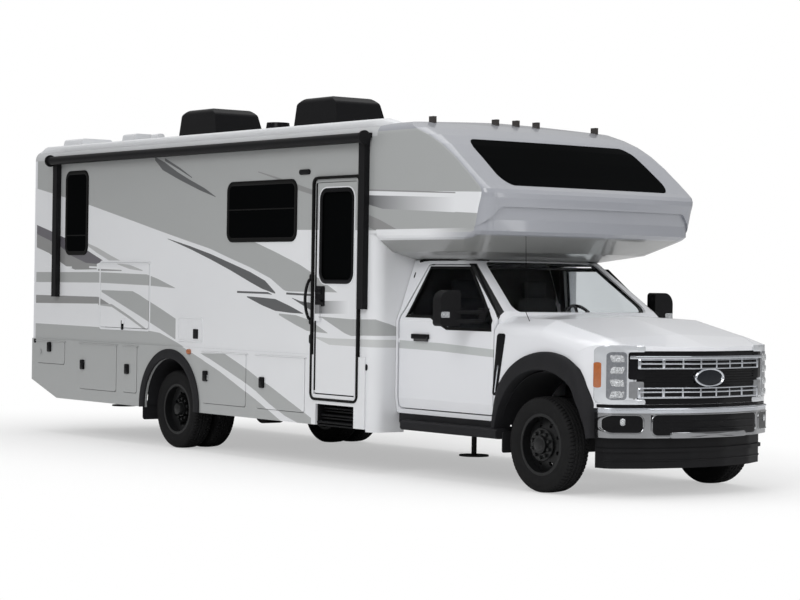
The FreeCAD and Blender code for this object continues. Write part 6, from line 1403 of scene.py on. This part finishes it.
def camera():
    """The photograph's camera: place and turn from yaw, pitch and roll, lens from the focal length."""
    level = math.cos(camera_pitch)
    forward = Vector((math.cos(camera_yaw) * level, math.sin(camera_yaw) * level, math.sin(camera_pitch)))
    right = forward.cross(Vector((0, 0, 1))).normalized()
    up = right.cross(forward)
    turned_right = right * math.cos(camera_roll) + up * math.sin(camera_roll)
    turned_up = up * math.cos(camera_roll) - right * math.sin(camera_roll)
    data = bpy.data.cameras.new("photo_camera")
    data.sensor_width = sensor_mm
    data.lens = focal_pixels / image_width * sensor_mm
    data.clip_end = 500.0
    turn = Matrix((turned_right, turned_up, -forward)).transposed().to_4x4()
    bpy.context.scene.camera = place_object("photo_camera", data, Matrix.Translation(camera_place) @ turn)


def seen(tree):
    """1 for rays that come straight from the camera or through glass, 0 for the rest."""
    path = new_node(tree, "ShaderNodeLightPath").outputs
    rays = enumerate((path["Is Camera Ray"], path["Is Transmission Ray"]))
    return new_node(tree, "ShaderNodeMath", rays, operation="MAXIMUM").outputs[0]


def mixed(tree, share, one, other, output):
    """Sends the shader one, or as far as share says the shader other, to the output."""
    mix = new_node(tree, "ShaderNodeMixShader", enumerate((share, one.outputs[0], other.outputs[0])))
    plug(tree.nodes[output], 0, mix.outputs[0])


def world():
    """White behind the object for the camera; for the object itself a soft sky: bright above, dim at the horizon."""
    made = bpy.data.worlds.new("studio_world")
    bpy.context.scene.world = made
    made.use_nodes = True
    tree = made.node_tree
    place = new_node(tree, "ShaderNodeTexCoord").outputs["Generated"]
    height = new_node(tree, "ShaderNodeSeparateXYZ", ((0, place),)).outputs[2]
    soft = tree.nodes["Background"]
    plug(soft, "Color", (1, 1, 1, 1))
    plug(soft, "Strength", smooth_ramp(tree, height, sky_span, sky_dim, sky_bright))
    bright = new_node(tree, "ShaderNodeBackground", (("Color", (1, 1, 1, 1)),))
    mixed(tree, seen(tree), soft, bright, "World Output")


def lamp(name, place, target, size, power):
    """A soft square lamp at place that shines at target."""
    data = bpy.data.lights.new(name, "AREA")
    data.shape = "SQUARE"
    data.size = size
    data.energy = power
    aim = Vector(target) - Vector(place)
    place_object(name, data, Matrix.Translation(Vector(place)) @ aim.to_track_quat("-Z", "Y").to_matrix().to_4x4())


def floor():
    """A plain pale floor, one large flat sheet: near the tyres it shows the shadow, further out it fades to white."""
    mesh = bpy.data.meshes.new("floor")
    corners = [(x * floor_half, y * floor_half, 0) for x, y in ((-1, -1), (1, -1), (1, 1), (-1, 1))]
    mesh.from_pydata(corners, [], [(0, 1, 2, 3)])
    made = place_object("floor", mesh)
    material = bpy.data.materials.new("pale_floor")
    material.use_nodes = True
    tree = material.node_tree
    shader = tree.nodes["Principled BSDF"]
    for socket, value in (("Base Color", floor_grey), ("Roughness", 1.0), ("Specular IOR Level", 0.0)):
        plug(shader, socket, value)
    place = new_node(tree, "ShaderNodeTexCoord").outputs["Object"]
    shape = new_node(tree, "ShaderNodeMapping", (("Vector", place), ("Scale", floor_shape))).outputs[0]
    length = new_node(tree, "ShaderNodeVectorMath", ((0, shape),), operation="LENGTH").outputs["Value"]
    factors = enumerate((smooth_ramp(tree, length, floor_span, floor_lift, 1.0), seen(tree)))
    share = new_node(tree, "ShaderNodeMath", factors, operation="MULTIPLY").outputs[0]
    mixed(tree, share, shader, new_node(tree, "ShaderNodeEmission"), "Material Output")
    mesh.materials.append(material)


camera()
world()
floor()
for row in lamps:
    lamp(*row)
bpy.context.scene.view_settings.view_transform = "Standard"
